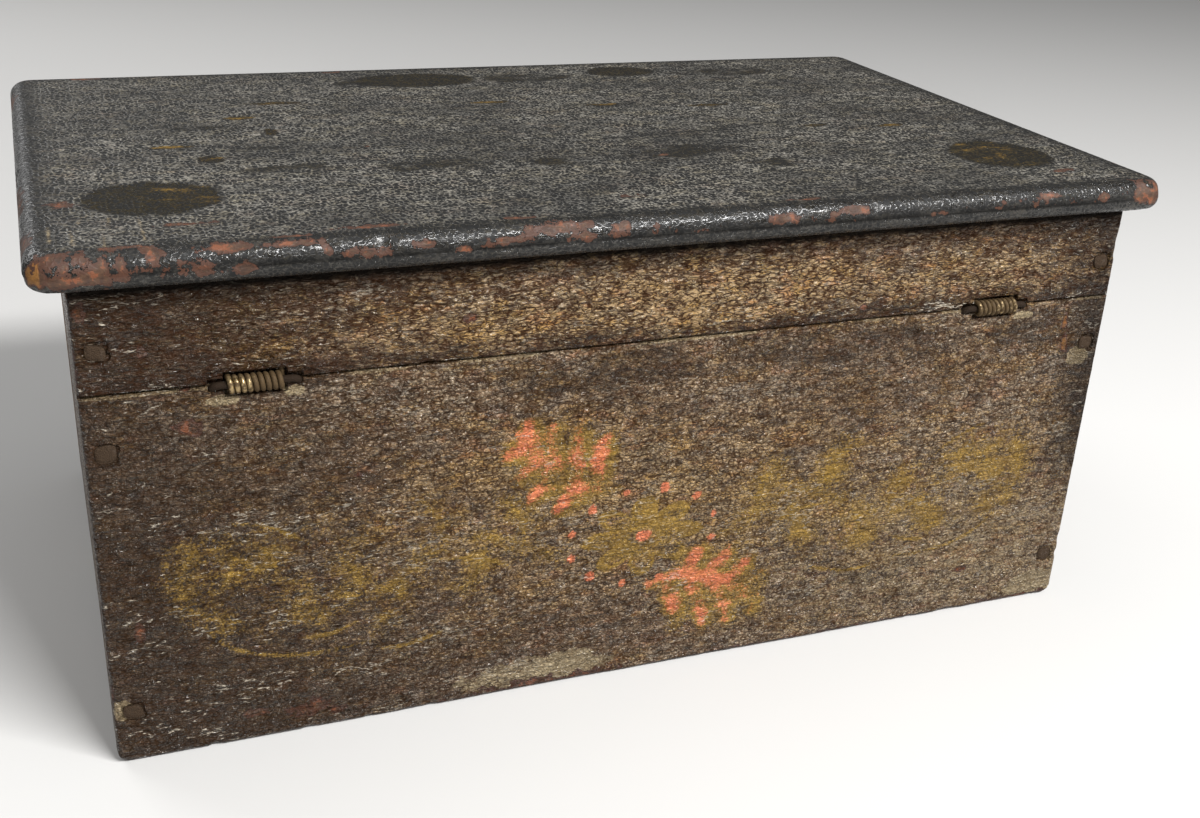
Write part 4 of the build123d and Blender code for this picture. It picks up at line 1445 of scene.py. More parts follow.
@dataclass
class Body:
    """The four walls of the box, and its bare bottom board."""

    finishes: Finishes
    hinge_side_step: float = 1.15
    radii: Four = (2.0, 2.0, 2.5, 0.8)
    end_radii: Four = (0.2, 0.2, 4.0, 0.8)
    plan_corners: Four = (5.0, 5.0, 0.0, 0.0)
    lock_half: float = 41.1
    plate_bottom: float = 120.9
    plate_depth: float = 1.65
    selvedge_bottom: float = 159.95
    selvedge_reach: float = 11.05
    key_height: float = 140.95
    bottom_nail_height: float = 6.0
    bottom_nail_places: tuple[float, ...] = (-80.0, 0.0, 80.0)

    def build(self) -> None:
        """Builds the walls and dresses the bottom board."""
        self._back()
        self._front()
        for side in (-1, 1):
            self._end(side)
        dress_node("bottom_board", self.finishes.pine)
        dress_node("bottom_nails", self.finishes.nail_iron)

    def _long_board(self, side: int) -> Board:
        """One of the long walls, with the dents of its nails.

        Args:
            side: 1 for the hinge side, -1 for the lock side.

        Returns:
            The board, without what only one of the two has.
        """
        which = "back" if side > 0 else "front"
        centres = [(u, v) for u in NAILS_U for v in BODY_NAIL_HEIGHTS]
        return Board(
            name=f"painted_{which}_board",
            node=f"{which}_board",
            corner=(side * HALF_WIDTH, side * HALF_DEPTH, 0.0),
            u_axis=(-side, 0, 0),
            size=(BODY_WIDTH, BODY_HEIGHT),
            radii=self.radii,
            plan_corners=self.plan_corners,
            fine_u=spans(NAILS_U),
            fine_v=spans(BODY_NAIL_HEIGHTS),
            pits=(square_dent(centres, NAIL_DENT, 3),),
            lining=3.2,
        )

    def _back(self) -> None:
        """The hinge side, with its flower, vines and worn foot."""
        board = self._long_board(1)
        board.step = self.hinge_side_step
        board.fine_u += spans(HINGES_U, 19.0)
        board.fine_v += spans((BODY_HEIGHT - 3.4,), 2.4)
        board.pits += hinge_room(HINGE_Z)
        skin = board.skin()
        s, z, face = -skin.points[:, 0], skin.points[:, 2], skin.face
        ragged = skin.cloud(RAGGED, 21, 3)
        mustard, salmon = Ornament().masks(s, z, ragged)
        tint = (
            (-50, 128, 120, 38, 0.5), (60, 84, 100, 50, 0.55), (165, 45, 95, 60, 0.7),
            (185, 125, 70, 45, 0.45), (-115, 70, 75, 36, 0.4), (0, 74, 85, 44, 0.45),
            (-70, 104, 60, 26, 0.35),
        )
        stain = tinted(s, z, tint) * (0.75 + 0.7 * skin.cloud((30, 30, 10), 22, 3))
        pale = (
            (-37, 9, 17, 8), (215, 8, 16, 8), (181, 156.5, 6, 2.2), (-225, 26, 3.5, 5),
            (-151, 157, 4, 2.4), (-177, 156, 6, 2.6), (217, 133, 6, 5),
        )
        silt = (
            most(blot, s, z, pale, ragged),
            0.55 * blot(s, z, (-50, 8, 36, 9), 1.5 * ragged),
            # paler towards the lower part of the end at high s
            0.42 * haze(s, z, (160, 36, 95, 46)),
        )
        khaki = np.maximum.reduce(silt)
        # pale line just under the seam: partly worn paint, partly a painted highlight on the rounded arris
        seam_wear_and_highlight = smooth(z, 160.4, 161.2) * smooth(skin.cloud((20, 20, 20), 23, 3), -0.3, 0.3)
        places = (
            (85, 148, 60, 14), (-20, 150, 50, 9), (192, 150, 30, 9), (8, 40, 26, 16), (110, 22, 40, 9)
        )
        kept = 0.75 * most(blot, s, z, places, 1.6 * ragged)
        kept = kept * smooth(skin.cloud((40, 40, 7), 24, 3), -0.5, 0.4)
        dark_edge = smooth(z, 45.0, 95.0)
        sound = (
            0.6 * salmon,
            0.6 * mustard,
            0.9 * smooth(-s - 0.5 * z, -20.0, 190.0),
            kept,
            0.85 * smooth(s + 6.0 * ragged, 196.0, 222.0) * dark_edge,
        )
        chips = (
            (-48, 1.5, 38, 3.2), (208, 142.5, 2.4, 5.5), (206, 151, 1.2, 5.0), (-150, 11, 8, 3.6),
            (40, 0.4, 45, 1.5), (128, 0.4, 40, 1.7), (200, 0.6, 28, 2.2), (-172, 13, 4, 2.2),
            (-140, 8, 5, 1.8), (-191, 146, 4, 3), (-128, 118, 2.0, 1.4), (170, 24, 3, 1.5),
            (-215, 60, 2, 4),
        )
        bare = most(chip, s, z, chips, ragged)
        # darker towards the end at high s, from about 45 mm up
        soot_and_shade = 0.45 * smooth(s + 7.0 * ragged, 200.0, 226.0) * dark_edge
        masks = dict(
            mustard=mustard * face,
            salmon=salmon * face,
            stain=np.clip(stain, 0, 1) * face,
            khaki=np.maximum(0.85 * khaki, 0.5 * seam_wear_and_highlight),
            sound=np.maximum.reduce(sound) * face,
            bare=bare * skin.shallow,
            ochre=0.5 * blot(s, z, (208, 142.5, 8, 12), ragged),
            soot_and_shade=soot_and_shade * (1 - np.minimum(bare, 1)),
        )
        Wear(200, (self.finishes.brown, self.finishes.pine)).build(board, skin, masks)

    def _keyhole(self, u: Array, v: Array) -> Array:
        """Signed distance from the keyhole: a round head over a straight slot."""
        head = np.hypot(u - HALF_WIDTH, v - self.key_height) - 2.0
        below = np.maximum(v - self.key_height, self.key_height - 8.0 - v)
        return np.minimum(head, np.maximum(np.abs(u - HALF_WIDTH) - 1.1, below))

    def _lock_room(self, u: Array, v: Array) -> Array:
        """Depth of the inner recess: thin under the lock's plate, deep under its selvedge."""
        under = (np.abs(u - HALF_WIDTH) < self.lock_half) & (v > self.plate_bottom)
        return under * np.where(v > self.selvedge_bottom, self.selvedge_reach, self.plate_depth)

    def _front(self) -> None:
        """The lock side, with its keyhole and, inside, the room for the lock's plate."""
        board = self._long_board(-1)
        board.fine_u += ((HALF_WIDTH, 4.0, 0.35),)
        board.fine_v = (board.fine_v[0], (self.key_height - 3.0, 9.0, 0.4))
        board.breaks_u = (HALF_WIDTH - self.lock_half, HALF_WIDTH + self.lock_half)
        board.breaks_v = (self.plate_bottom, self.selvedge_bottom)
        board.pits += (Pit(self._keyhole, 10.0, 0.37),)
        board.inner_recess = self._lock_room
        skin = board.skin()
        x, z, face = skin.points[:, 0], skin.points[:, 2], skin.face
        ragged = skin.cloud(RAGGED, 31, 3)
        kept = 0.85 * smooth(skin.cloud((110, 60, 11), 34, 3), 0.0, 0.45)
        chips = (
            (3, 146, 3, 1.6), (-2.5, 130, 1.6, 3.0), (120, 2, 30, 3), (-190, 20, 3, 5), (60, 160, 12, 1.6)
        )
        pale = 0.7 * blot(x, z, (-70, 6, 22, 6), ragged)
        masks = dict(
            stain=np.clip(0.35 + 0.9 * skin.cloud((90, 60, 16), 32, 3), 0, 0.9) * face,
            sound=np.maximum(0.7 * glow(x, z, (0, 138, 26, 18)), kept) * face,
            bare=most(chip, x, z, chips, ragged) * skin.shallow,
            khaki=np.maximum(pale, 0.3 * haze(x, z, (90, 24, 110, 34))),
        )
        Wear(300, (self.finishes.brown, self.finishes.pine)).build(board, skin, masks)

    def _end(self, side: int) -> None:
        """One end wall between the long ones, with the dents of the bottom's nails.

        Args:
            side: 1 for the right one, -1 for the left one.
        """
        places = [(HALF_END + side * y, self.bottom_nail_height) for y in self.bottom_nail_places]
        which = "right" if side > 0 else "left"
        board = Board(
            name=f"painted_{which}_end_board",
            node=f"{which}_end_board",
            corner=(side * HALF_WIDTH, -side * HALF_END, 0.0),
            u_axis=(0, side, 0),
            size=(2 * HALF_END, BODY_HEIGHT),
            radii=self.end_radii,
            fine_u=spans([u for u, _ in places], 5.0),
            fine_v=spans((self.bottom_nail_height + 1.4,), 3.2),
            pits=(square_dent(places, FINE_NAIL_DENT, 5),),
        )
        skin = board.skin()
        y, z, face = side * skin.points[:, 1], skin.points[:, 2], skin.face
        ragged = skin.cloud(RAGGED, 41 + side, 3)
        chips = ((40, 2, 26, 3), (-96, 150, 5, 3), (12, 90, 2.4, 1.5), (-50, 30, 2, 2))
        pale = 0.7 * blot(y, z, (-30, 5, 20, 5), ragged)
        masks = dict(
            stain=np.clip(0.3 + 0.9 * skin.cloud((50, 75, 15), 43 + side, 3), 0, 0.9) * face,
            sound=0.85 * smooth(skin.cloud((60, 80, 11), 46 + side, 3), 0.0, 0.45) * face,
            bare=most(chip, y, z, chips, ragged) * skin.shallow,
            khaki=np.maximum(pale, 0.3 * haze(y, z, (40, 26, 80, 34))),
        )
        wear = Wear(400 + side, (self.finishes.brown_ends, self.finishes.pine_ends), Grain.ALONG_Y)
        wear.build(board, skin, masks)


@dataclass
class Lid:
    """The bullnosed top board and the four rails of its rim."""

    finishes: Finishes
    hinge_side_step: float = 1.15
    top_step: float = 1.5
    nosing_radius: float = 7.0
    under_radius: float = 5.0
    corner_radius: float = 11.0
    radii: Four = (2.0, 2.0, 1.0, 0.2)
    end_radii: Four = (0.2, 0.2, 1.0, 0.2)
    strike_half: float = 30.1
    strike_height: float = 2.05
    strike_depth: float = 11.05

    def build(self) -> None:
        """Builds the top and the rails, and dresses the nails painted over."""
        self._top()
        for side in (1, -1):
            self._long_rail(side)
            self._end_rail(side)
        dress_node("lid_top_nails", self.finishes.nail_iron)

    def _strike_room(self, u: Array, v: Array) -> Array:
        """Depth of the room for the lock's link plate, cut in the inner edge."""
        under = (np.abs(u - HALF_WIDTH) < self.strike_half) & (v < self.strike_height)
        return under * self.strike_depth

    def _long_rail(self, side: int) -> None:
        """One of the long rails.

        Args:
            side: 1 for the one over the hinges, -1 for the one over the lock.
        """
        height = RIM_NAIL_HEIGHT - RIM_BOTTOM
        which = "back" if side > 0 else "front"
        board = Board(
            name=f"painted_{which}_rail",
            node=f"lid_{which}_rail",
            body="lid",
            corner=(side * HALF_WIDTH, side * HALF_DEPTH, RIM_BOTTOM),
            u_axis=(-side, 0, 0),
            size=(BODY_WIDTH, RIM_HEIGHT),
            radii=self.radii,
            fine_u=spans(NAILS_U),
            fine_v=spans((height,)),
            pits=(square_dent([(u, height) for u in NAILS_U], NAIL_DENT, 9),),
        )
        if side > 0:
            board.step = self.hinge_side_step
            board.fine_u += spans(HINGES_U, 19.0)
            board.fine_v += spans((3.4,), 2.4)
            board.pits += hinge_room(HINGE_Z - RIM_BOTTOM)
        else:
            board.breaks_u = (HALF_WIDTH - self.strike_half, HALF_WIDTH + self.strike_half)
            board.breaks_v = (self.strike_height,)
            board.inner_recess = self._strike_room
        skin = board.skin()
        s, z, face = -side * skin.points[:, 0], skin.points[:, 2], skin.face
        ragged = skin.cloud(RAGGED, 51 + side, 3)
        tint = (
            (45, 184, 130, 18, 1.0), (185, 174, 60, 20, 0.8), (-100, 178, 80, 17, 0.5),
            (-20, 172, 90, 12, 0.5),
        )
        stain = tinted(s, z, tint) * (0.85 + 0.5 * skin.cloud((34, 34, 7), 53 + side, 3))
        chips = ((-81.7, 179.5, 3.0, 1.6), (-205, 178, 1.4, 2.2), (96, 168, 1.5, 1), (-225, 195, 2, 3))
        ridge = smooth(-z - 1.2 * ragged, -171.0, -167.5)
        sound = (
            ridge * smooth(skin.cloud((60, 60, 60), 54, 2), -0.9, -0.2),
            0.9 * smooth(-s, 60.0, 220.0),
            0.7 * smooth(s, 168.0, 205.0),
        )
        # painted shadow: the top of the rail darkened under the top board's overhang
        shadow_under_top = 0.92 * smooth(z + 0.8 * ragged, RIM_TOP - 6.2, RIM_TOP - 4.2)
        # darker towards the end at high s
        dark_end = 0.35 * smooth(s + 7.0 * ragged, 195.0, 225.0)
        masks = dict(
            stain=np.clip(stain, 0, 1) * face,
            bare=most(chip, s, z, chips, ragged) * skin.shallow,
            sound=np.maximum.reduce(sound) * face,
            soot_and_shade=np.maximum(shadow_under_top * (skin.zone < 2), dark_end * face),
        )
        wear = Wear(500 + side, (self.finishes.brown_rails, self.finishes.pine), ridge=0.12)
        wear.build(board, skin, masks)

    def _end_rail(self, side: int) -> None:
        """One end rail between the long ones.

        Args:
            side: 1 for the right one, -1 for the left one.
        """
        which = "right" if side > 0 else "left"
        board = Board(
            name=f"painted_{which}_rail",
            node=f"lid_{which}_rail",
            body="lid",
            corner=(side * HALF_WIDTH, -side * HALF_END, RIM_BOTTOM),
            u_axis=(0, side, 0),
            size=(2 * HALF_END, RIM_HEIGHT),
            radii=self.end_radii,
        )
        skin = board.skin()
        stain = 0.5 + 0.7 * skin.cloud((50, 50, 9), 61 + side, 3)
        # painted shadow: the top of the end rail darkened under the top board's overhang
        soot_and_shade = 0.9 * smooth(skin.points[:, 2], RIM_TOP - 7.0, RIM_TOP - 3.0) * (skin.zone < 2)
        masks = dict(stain=np.clip(stain, 0, 1) * skin.face, soot_and_shade=soot_and_shade)
        wear = Wear(600 + side, (self.finishes.brown_ends, self.finishes.pine_ends), Grain.ALONG_Y)
        wear.build(board, skin, masks)

    def _top_chips(self, x: Array, y: Array, z: Array, ragged: Array) -> Array:
        """Where the paint has chipped: along the nosing, on the top and along the other edges.

        Args:
            x, y, z: each place.
            ragged: noise of about -1 to 1 for each place.

        Returns:
            The field of the chips at each place.
        """
        nosing = (
            (226, 214.5, 22, 7.5, 0.66), (222, 210.5, 14, 2.2), (237, 212, 5, 4.0), (198.5, 217.5, 3.5, 3.5),
            (174, 218.2, 11, 1.2), (184, 211, 7, 3.0, 0.75), (170, 210.5, 5, 1.6), (152, 217.8, 9, 0.9),
            (139, 215.5, 2.0, 3.2), (122, 213.5, 8, 2.2), (104, 215, 5, 2.0), (88, 212, 3, 1.6),
            (71, 214, 5, 1.5), (50, 216.8, 13, 2.2), (40, 213.5, 10, 2.0, 0.8), (24, 216, 3.5, 1.6),
            (-8, 212.5, 5, 1.2, 0.75), (-47, 214.5, 8, 1.8, 0.8), (-79, 215.5, 8, 1.8),
            (-120, 212, 6, 1.2, 0.7), (-176, 216, 5, 1.4), (-206, 214, 3, 1.8), (-230, 214.5, 12, 4.0),
        )
        flat = (
            (118, 136.5, 13, 1.7), (186, 118.5, 9, 1.6), (9, 118.5, 4.5, 2.0), (-200, 122, 6, 2.2),
            (226, 85, 5, 3.5), (150, 141, 8, 1.2), (205, 141, 9, 1.4), (80, -139, 5, 1.5),
            (206, -140, 6, 2), (60, 138, 10, 1.3), (-60, 139, 6, 1.1), (-30, 60, 2.0, 1.1),
            (95, 20, 1.4, 0.9),
        )
        ends = ((70, 214, 18, 3), (-20, 212, 10, 2.5), (-110, 214, 16, 3), (120, 216, 9, 3))
        front = (
            (-190, 214, 24, 3.5), (-60, 213, 16, 2), (40, 215, 20, 2.6), (150, 213, 12, 2), (215, 214, 16, 5)
        )
        fields = (
            most(chip, x, z, nosing, 0.8 * ragged) * smooth(y, 140.0, 143.0),
            most(chip, x, y, flat, ragged) * (z > 214),
            most(chip, y, z, ends, ragged) * smooth(np.abs(x), 234, 237),
            most(chip, x, z, front, ragged) * smooth(-y, 140, 143),
        )
        return np.maximum.reduce(fields)

    def _top(self) -> None:
        """The top board: satin black crackle, glossy chipped bullnose, worn mustard ovals."""
        size = (BODY_WIDTH + 2 * END_OVERHANG, BODY_DEPTH + 2 * FRONT_OVERHANG)
        board = TopBoard(
            name="painted_lid_top",
            body="lid",
            node="lid_top_board",
            slot="black_painted_pine",
            corner=(-size[0] / 2, -size[1] / 2, LID_TOP),
            u_axis=(1, 0, 0),
            v_axis=(0, 1, 0),
            size=size,
            thickness=TOP_THICKNESS,
            step=self.top_step,
            radii=(self.nosing_radius,) * 4,
            inner_radius=self.under_radius,
            plan_corners=(self.corner_radius,) * 4,
            breaks_u=(END_OVERHANG + WALL, size[0] - END_OVERHANG - WALL),
            breaks_v=(FRONT_OVERHANG + WALL, size[1] - FRONT_OVERHANG - WALL),
            rings=1,
        )
        skin = board.skin()
        x, y, z = skin.points.T
        ragged = skin.cloud((5, 5, 4), 71, 3)
        bare = self._top_chips(x, y, z, ragged)
        ovals = ((193, 83, 27, 23.5), (-190, 90, 24.5, 25.5), (40, -112, 34, 17), (-80, -118, 20, 13))
        dashes = (
            (178, 7, 10, 2.2), (142, -42, 8, 3.2), (132, -13, 3.5, 7), (-130, 21, 7, 2.6),
            (-169, 28, 8, 2.4), (120, -70, 13, 3.0), (-40, -40, 10, 2.2), (164, 30, 6, 6),
            (15, -55, 11, 2.4), (-95, -30, 12, 2.4),
        )
        smears = (
            (135, 53, 20, 9), (72, 58, 24, 10), (22, 62, 11, 7), (-46, 55, 34, 12), (-80, 82, 18, 7),
            (68, -108, 17, 9), (-20, -110, 26, 10), (-141, -108, 34, 9), (162, -26, 12, 4), (140, 15, 10, 3),
        )
        worn_ovals = most(blot, x, y, (*ovals, *dashes), 0.35 * ragged)
        smeared = most(blot, x, y, smears, 1.1 * ragged)
        smeared = smeared * smooth(skin.cloud((11, 7, 9), 76, 3), -0.55, 0.25)
        flecks = smooth(skin.cloud((9, 3.2, 9), 73, 3), -0.05, 0.5)
        bright = most(glow, x, y, ((178, 80, 17, 18), (-184, 86, 24, 22), *dashes))
        marks = most(blot, x, y, dashes, 0.5 * ragged) * (0.2 + 0.4 * flecks)
        split = np.abs(y - (29 + (x + 12) / 6.0) - 1.2 * skin.cloud((30, 30, 30), 74))
        split = smooth(-split, -1.0, -0.3) * ((x < -12) & (x > -228))
        comb = np.cos(2 * np.pi * (x + 2 * skin.cloud((20, 40, 9), 75)) / 3.4)
        comb = smooth(comb, 0.86, 0.99) * blot(x, y, (208, 122, 30, 17), ragged)
        calm = np.maximum(smooth(np.abs(x), 222, 238), smooth(np.abs(y), 134, 144))
        # painted shade: the lower part of the nosing and its underside darkened as if in shadow, less where
        # chipped
        under = 0.85 * smooth(-z, -216.5, -210.0) * (skin.zone < 2)
        masks = dict(
            bare=bare,
            stain=np.maximum(worn_ovals, 0.75 * smeared),
            mustard=np.maximum((0.15 + 0.6 * flecks) * worn_ovals * bright, marks),
            khaki=0.5 * comb,
            sound=np.clip(0.9 * calm + 0.8 * worn_ovals + 0.8 * smeared + split, 0, 1),
            soot_and_shade=np.maximum(under * (1 - 0.7 * np.minimum(bare, 1)), 0.25 * worn_ovals),
            ochre=glow(y, z, (146, 213, 5, 6)) * (x > 236),
        )
        finishes = (self.finishes.black, self.finishes.pine)
        wear = Wear(700, finishes, ridge=0.04, sway=0.04, nick=1.3, edge_share=0.12)
        wear.build(board, skin, masks)


# ---- metal work
def unit(vectors: Array) -> Array:
    """Vectors, one in each row, at length 1."""
    return vectors / np.linalg.norm(vectors, axis=-1, keepdims=True)


def closed_rings(rings: Array, start: Array, end: Array) -> Mesh:
    """A closed skin over rings of points that run from one pole to the other.

    Args:
        rings: array of rings by points by 3, each ring anticlockwise about the way it goes.
        start, end: the two poles.

    Returns:
        Points, four-sided faces, and the triangles round the poles.
    """
    count, sides = rings.shape[:2]
    grid = np.arange(count * sides).reshape(count, sides)
    turned = np.roll(grid, -1, axis=1)
    quads = np.stack([grid[:-1], turned[:-1], turned[1:], grid[1:]], -1).reshape(-1, 4)
    first, last = (np.full(sides, count * sides + pole) for pole in (0, 1))
    caps = [np.stack(c, 1) for c in ((first, turned[0], grid[0]), (last, grid[-1], turned[-1]))]
    return np.concatenate([rings.reshape(-1, 3), start[None], end[None]]), quads, np.concatenate(caps)


def wire(path: Array, radius: float, sides: int, across: Point) -> Mesh:
    """Round wire with domed ends: circles about each point of a path, square to its direction.

    Args:
        path: points of the centre line, in millimetres.
        radius: half the wire's thickness.
        sides: points in each circle.
        across: a direction never in line with the path, from which each circle starts.

    Returns:
        Its points and faces.
    """
    turn = np.linspace(0.15, np.pi / 2, 5)[:-1]
    first, last = unit(path[0] - path[1]), unit(path[-1] - path[-2])
    lead = path[0] + radius * np.cos(turn)[:, None] * first
    tail = path[-1] + radius * np.cos(turn[::-1])[:, None] * last
    line = np.concatenate([lead, path, tail])
    width = np.concatenate([np.sin(turn), np.ones(len(path)), np.sin(turn[::-1])]) * radius
    along, towards = unit(np.gradient(line, axis=0)), np.array(across, float)
    side = unit(towards - (along @ towards)[:, None] * along)
    up = np.cross(along, side)
    angle = np.linspace(0, 2 * np.pi, sides, endpoint=False)
    circle = np.cos(angle)[None, :, None] * side[:, None] + np.sin(angle)[None, :, None] * up[:, None]
    rings = line[:, None] + width[:, None, None] * circle
    return closed_rings(rings, path[0] + radius * first, path[-1] + radius * last)


def joined(parts: Sequence[Mesh]) -> Mesh:
    """Several closed skins as one set of points and faces.

    Args:
        parts: the skins.

    Returns:
        The points and faces of them all.
    """
    offsets = np.cumsum([0, *(len(points) for points, _, _ in parts)])
    points, quads, tris = zip(*((p, q + n, t + n) for n, (p, q, t) in zip(offsets, parts)))
    return np.concatenate(points), np.concatenate(quads), np.concatenate(tris)


@dataclass
class CornerNails:
    """Heads of the cut nails at the corners: hammered, nearly square, sunk a little."""

    finishes: Finishes
    half: float = 4.3
    drop: float = 0.15
    thickness: float = 1.0
    bevel: float = 0.45
    sides: int = 40
    squareness: float = 3.4
    shares: tuple[float, ...] = (0.15, 0.3, 0.45, 0.6, 0.72, 0.82, 0.9, 0.96, 1.0, 1.0, 1.0, 0.6)

    def _head(self, x: float, side: int, z: float, seed: int) -> Mesh:
        """One head: rings of a superellipse, bevelled at its rim and dented by noise.

        Each is turned, skewed and lower than wide by its own random amounts.

        Args:
            x, z: its centre.
            side: 1 on the hinge side, -1 on the lock side.
            seed: which head.

        Returns:
            Its points and faces.
        """
        rng = np.random.default_rng(seed)
        turn = np.radians(rng.uniform(-12, 12))
        half = self.half * rng.uniform(0.86, 0.98)
        skew, tall = rng.uniform(-0.16, 0.16), rng.uniform(0.8, 0.96)
        angle = np.linspace(0, 2 * np.pi, self.sides, endpoint=False)
        cos, sin, power = np.cos(angle), np.sin(angle), self.squareness
        bulge = (np.abs(cos) ** power + np.abs(sin) ** power) ** (-1 / power)
        round_it = np.stack([2 * cos, 2 * sin, np.full_like(angle, 5.0 * seed)], -1)
        bulge *= 0.93 + 0.06 * cloud(round_it, (1.3, 1.3, 1.3), 820, 2)
        share, underside = np.array(self.shares), self.drop + self.thickness
        level = self.drop + self.bevel * smooth(share, 0.62, 1.02) ** 1.3
        level[-3:] = [self.drop + self.bevel + 0.3, underside, underside]
        a = half * share[:, None] * (bulge * (cos + skew * sin))[None]
        b = tall * half * share[:, None] * (bulge * sin)[None]
        places = np.stack([a, b, np.full_like(a, 7.0 * seed)], -1).reshape(-1, 3)
        dented = 0.28 * (1 + cloud(places, (2.2, 2.2, 2.2), 800 + seed, 2)).reshape(a.shape)
        depth = level[:, None] + dented * (share < 1.0)[:, None]
        depth[-1] = level[-1]
        along_x = a * np.cos(turn) - b * np.sin(turn)
        along_z = a * np.sin(turn) + b * np.cos(turn)
        rings = np.stack([x + along_x * side, side * (HALF_DEPTH - depth), z + along_z], -1)
        start = np.array([x, side * (HALF_DEPTH - self.drop - 0.25), z])
        end = np.array([x, side * (HALF_DEPTH - self.drop - self.thickness), z])
        return closed_rings(rings, start, end)

    def build(self) -> None:
        """Builds the heads of the body's and of the lid's nails."""
        for body, name, heights in (("box", "body", BODY_NAIL_HEIGHTS), ("lid", "lid", (RIM_NAIL_HEIGHT,))):
            places = [(x, side, z) for side in (-1, 1) for x in (-NAIL_X, NAIL_X) for z in heights]
            heads = [self._head(*place, seed + 1) for seed, place in enumerate(places)]
            piece = make_object(f"{name}_corner_nail_heads", joined(heads), (self.finishes.nail_iron,))
            settle(piece, f"{name}_corner_nails", body, "rusted_iron")


@dataclass
class Hinges:
    """Two wound wire hinges: coils that turn with the lid on bent pins held in the body."""

    finishes: Finishes
    wire_radius: float = 1.05
    coil_radius: float = 2.68
    pitch: float = 2.3
    turns: float = 8.75
    coil_tail: float = 10.9
    pin_radius: float = 1.5
    pin_half_span: float = 16.1
    pin_leg: float = 12.8
    pin_bend: float = 2.6

    def _coil_path(self, x: float) -> Array:
        """Centre line: y and z go round by cosine and sine while x moves a pitch each turn.

        Args:
            x: its middle.

        Returns:
            The points of the line, with a straight tail at each end.
        """
        turn = np.linspace(0, 2 * np.pi * self.turns, int(self.turns * 28) + 1)
        turned = (
            x - self.turns * self.pitch / 2 + self.pitch * turn / (2 * np.pi),
            HALF_DEPTH - self.coil_radius * np.cos(turn),
            HINGE_Z - self.coil_radius * np.sin(turn),
        )
        line = np.stack(turned, 1)
        rise = np.linspace(self.coil_tail, 0.8, 10)[:, None]
        first = line[0] + rise * np.array([0.0, 0.0, 1.0])
        last = line[-1] + rise[::-1] * np.array([0.0, -1.0, 0.0])
        return np.concatenate([first, line, last])

    def _pin_path(self, x: float) -> Array:
        """Centre line: two legs into the board at 45 degrees, quarter bends, and the straight pin.

        Args:
            x: its middle.

        Returns:
            The points of the line.
        """
        turn = np.linspace(0, np.pi / 2, 9)
        span, bend = self.pin_half_span, self.pin_bend
        along = np.concatenate([[self.pin_leg, 8.0, 4.5], bend * (1 - np.sin(turn))])
        inward = np.concatenate([np.full(3, -span), -span + bend * (1 - np.cos(turn))])
        half = np.stack([inward, along], 1)
        middle = np.stack([np.linspace(-12, 12, 13), np.zeros(13)], 1)
        both = np.concatenate([half, middle, half[::-1] * (-1, 1)])
        into = np.array([0.0, -1.0, -1.0]) / np.sqrt(2)
        centre = np.array([x, HALF_DEPTH, HINGE_Z])
        return centre + both[:, :1] * np.array([1.0, 0.0, 0.0]) + both[:, 1:] * into

    def build(self) -> None:
        """Builds the coils, daubed with paint on part of the left one, and the pins."""
        middles = (-HINGE_X, HINGE_X)
        coils = joined([wire(self._coil_path(x), self.wire_radius, 16, (1, 0, 0)) for x in middles])
        x, y, z = coils[0].T
        daub = glow(x, z, (HINGE_X - 4.5, HINGE_Z, 4.2, 9.0))
        # the turns darker on the side that lies within the notch
        back = smooth(-y, -HALF_DEPTH - 1.5, -HALF_DEPTH + 1.0)
        masks = {"grime": np.clip(daub * 1.6 + 0.5 * back + 0.25 * (x < 0), 0, 1)}
        coil = make_object("hinge_coil_wires", coils, (self.finishes.brass,), None, masks)
        pins = joined([wire(self._pin_path(x), self.pin_radius, 20, (0, 1, -1)) for x in middles])
        pin = make_object("hinge_pin_wires", pins, (self.finishes.pin_wire,))
        settle(coil, "hinge_coils", "lid", "brass_wire")
        settle(pin, "hinge_pins", "box", "brass_wire")


@dataclass
class Lock:
    """The box lock: its plate, case and bolt in the body, its link plate in the lid."""

    finishes: Finishes
    iron: tuple[str, ...] = (
        "plate", "case", "key_pin", "ward", "stump", "screws", "strike", "strike_screws", "bolt"
    )

    def build(self) -> None:
        """Dresses the parts of the lock."""
        for part in self.iron:
            dress_node(f"lock_{part}", self.finishes.lock_iron)
        dress_node("lock_bolt_spring", self.finishes.spring)


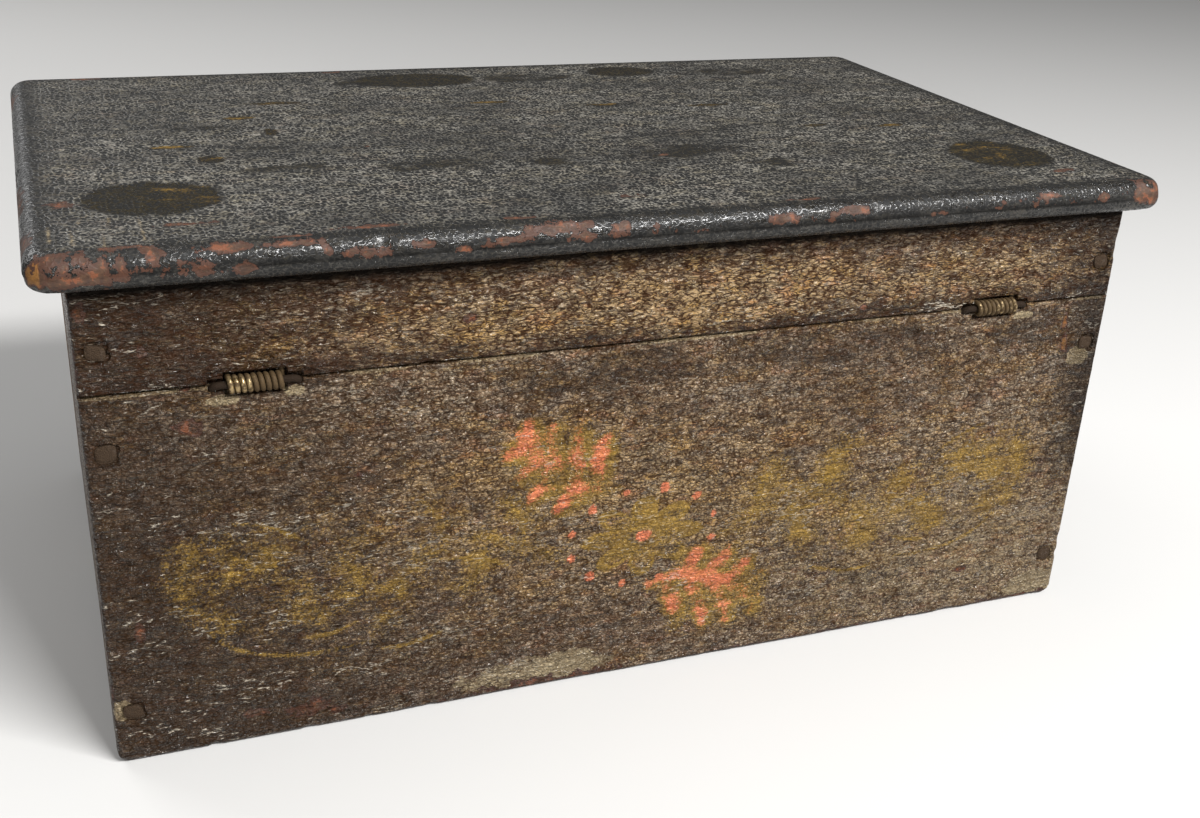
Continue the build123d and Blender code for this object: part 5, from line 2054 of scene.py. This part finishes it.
# ---- studio
@dataclass
class Studio:
    """Pale floor, soft light and the camera behind and above the hinge side."""

    eye: Point = (231.80, 643.20, 380.74)
    right: Point = (-0.9325, 0.3584, 0.0446)
    forward: Point = (-0.3441, -0.8440, -0.4115)
    lens: float = 43.268
    sensor: float = 36.0
    floor_half: float = 6.0
    aim: Point = (0.0, 0.0, 0.1)

    def camera(self) -> None:
        """Sets the camera: its axes are right, up and backwards, squared to each other."""
        forward = Vector(self.forward).normalized()
        right = (Vector(self.right) - forward * Vector(self.right).dot(forward)).normalized()
        data = bpy.data.cameras.new("camera")
        data.sensor_fit, data.sensor_width, data.lens = "HORIZONTAL", self.sensor, self.lens
        data.clip_start, data.clip_end = 0.01, 30.0
        piece = bpy.data.objects.new("camera", data)
        bpy.context.scene.collection.objects.link(piece)
        turn = Matrix((right, right.cross(forward), -forward)).transposed().to_4x4()
        piece.matrix_world = Matrix.Translation(Vector(self.eye) * MM) @ turn
        bpy.context.scene.camera = piece

    def light(self, name: str, place: Point, aim: Point, size: Pair, power: float) -> None:
        """One soft light.

        Args:
            name: its name.
            place: where it stands, in metres.
            aim: what it is turned to.
            size: how wide and how high it is.
            power: in watts.
        """
        data = bpy.data.lights.new(name, "AREA")
        data.shape, data.energy = "RECTANGLE", power
        data.size, data.size_y = size
        piece = bpy.data.objects.new(name, data)
        piece.location = place
        piece.rotation_euler = (Vector(aim) - Vector(place)).to_track_quat("-Z", "Y").to_euler()
        bpy.context.scene.collection.objects.link(piece)

    def build(self) -> None:
        """Camera, floor, sky and lights."""
        self.camera()
        far = self.floor_half
        corners = np.array([(-far, -far, 0), (far, -far, 0), (far, far, 0), (-far, far, 0)]) / MM
        material = Bench("pale_studio_floor").dress(Base_Color=linear("#c6c5c3"), Roughness=0.9)
        shape = (corners, np.array([[0, 1, 2, 3]]), np.zeros((0, 3), int))
        make_object("studio_floor", shape, (material,))
        world = bpy.data.worlds.new("studio_sky")
        bpy.context.scene.world = world
        world.use_nodes = True
        sky = world.node_tree.nodes["Background"]
        sky.inputs["Color"].default_value = linear("#f4f5f7")
        sky.inputs["Strength"].default_value = 0.14
        bpy.context.scene.view_settings.view_transform = "Standard"
        for lamp in (
            ("key", (-0.7, 1.45, 1.75), self.aim, (1.2, 0.13), 92.0),
            ("overhead", (0.2, -0.2, 2.4), self.aim, (1.8, 1.8), 12.0),
            ("fill", (1.2, -1.7, 1.3), self.aim, (1.2, 1.2), 20.0),
            ("low", (-1.3, 1.0, 0.45), (-0.16, 0.14, 0.06), (0.8, 0.5), 4.0),
            ("glint", (0.9, 1.9, 0.6), self.aim, (0.07, 0.07), 10.0),
        ):
            self.light(*lamp)


def main() -> None:
    """Builds the box part by part."""
    Studio().build()
    finishes = Finishes()
    for assembly in (Body(finishes), Lid(finishes), CornerNails(finishes), Hinges(finishes), Lock(finishes)):
        assembly.build()
        log.info("%s built", type(assembly).__name__)


if __name__ == "__main__":
    logging.basicConfig(level=logging.INFO, format="%(name)s: %(message)s")
    main()
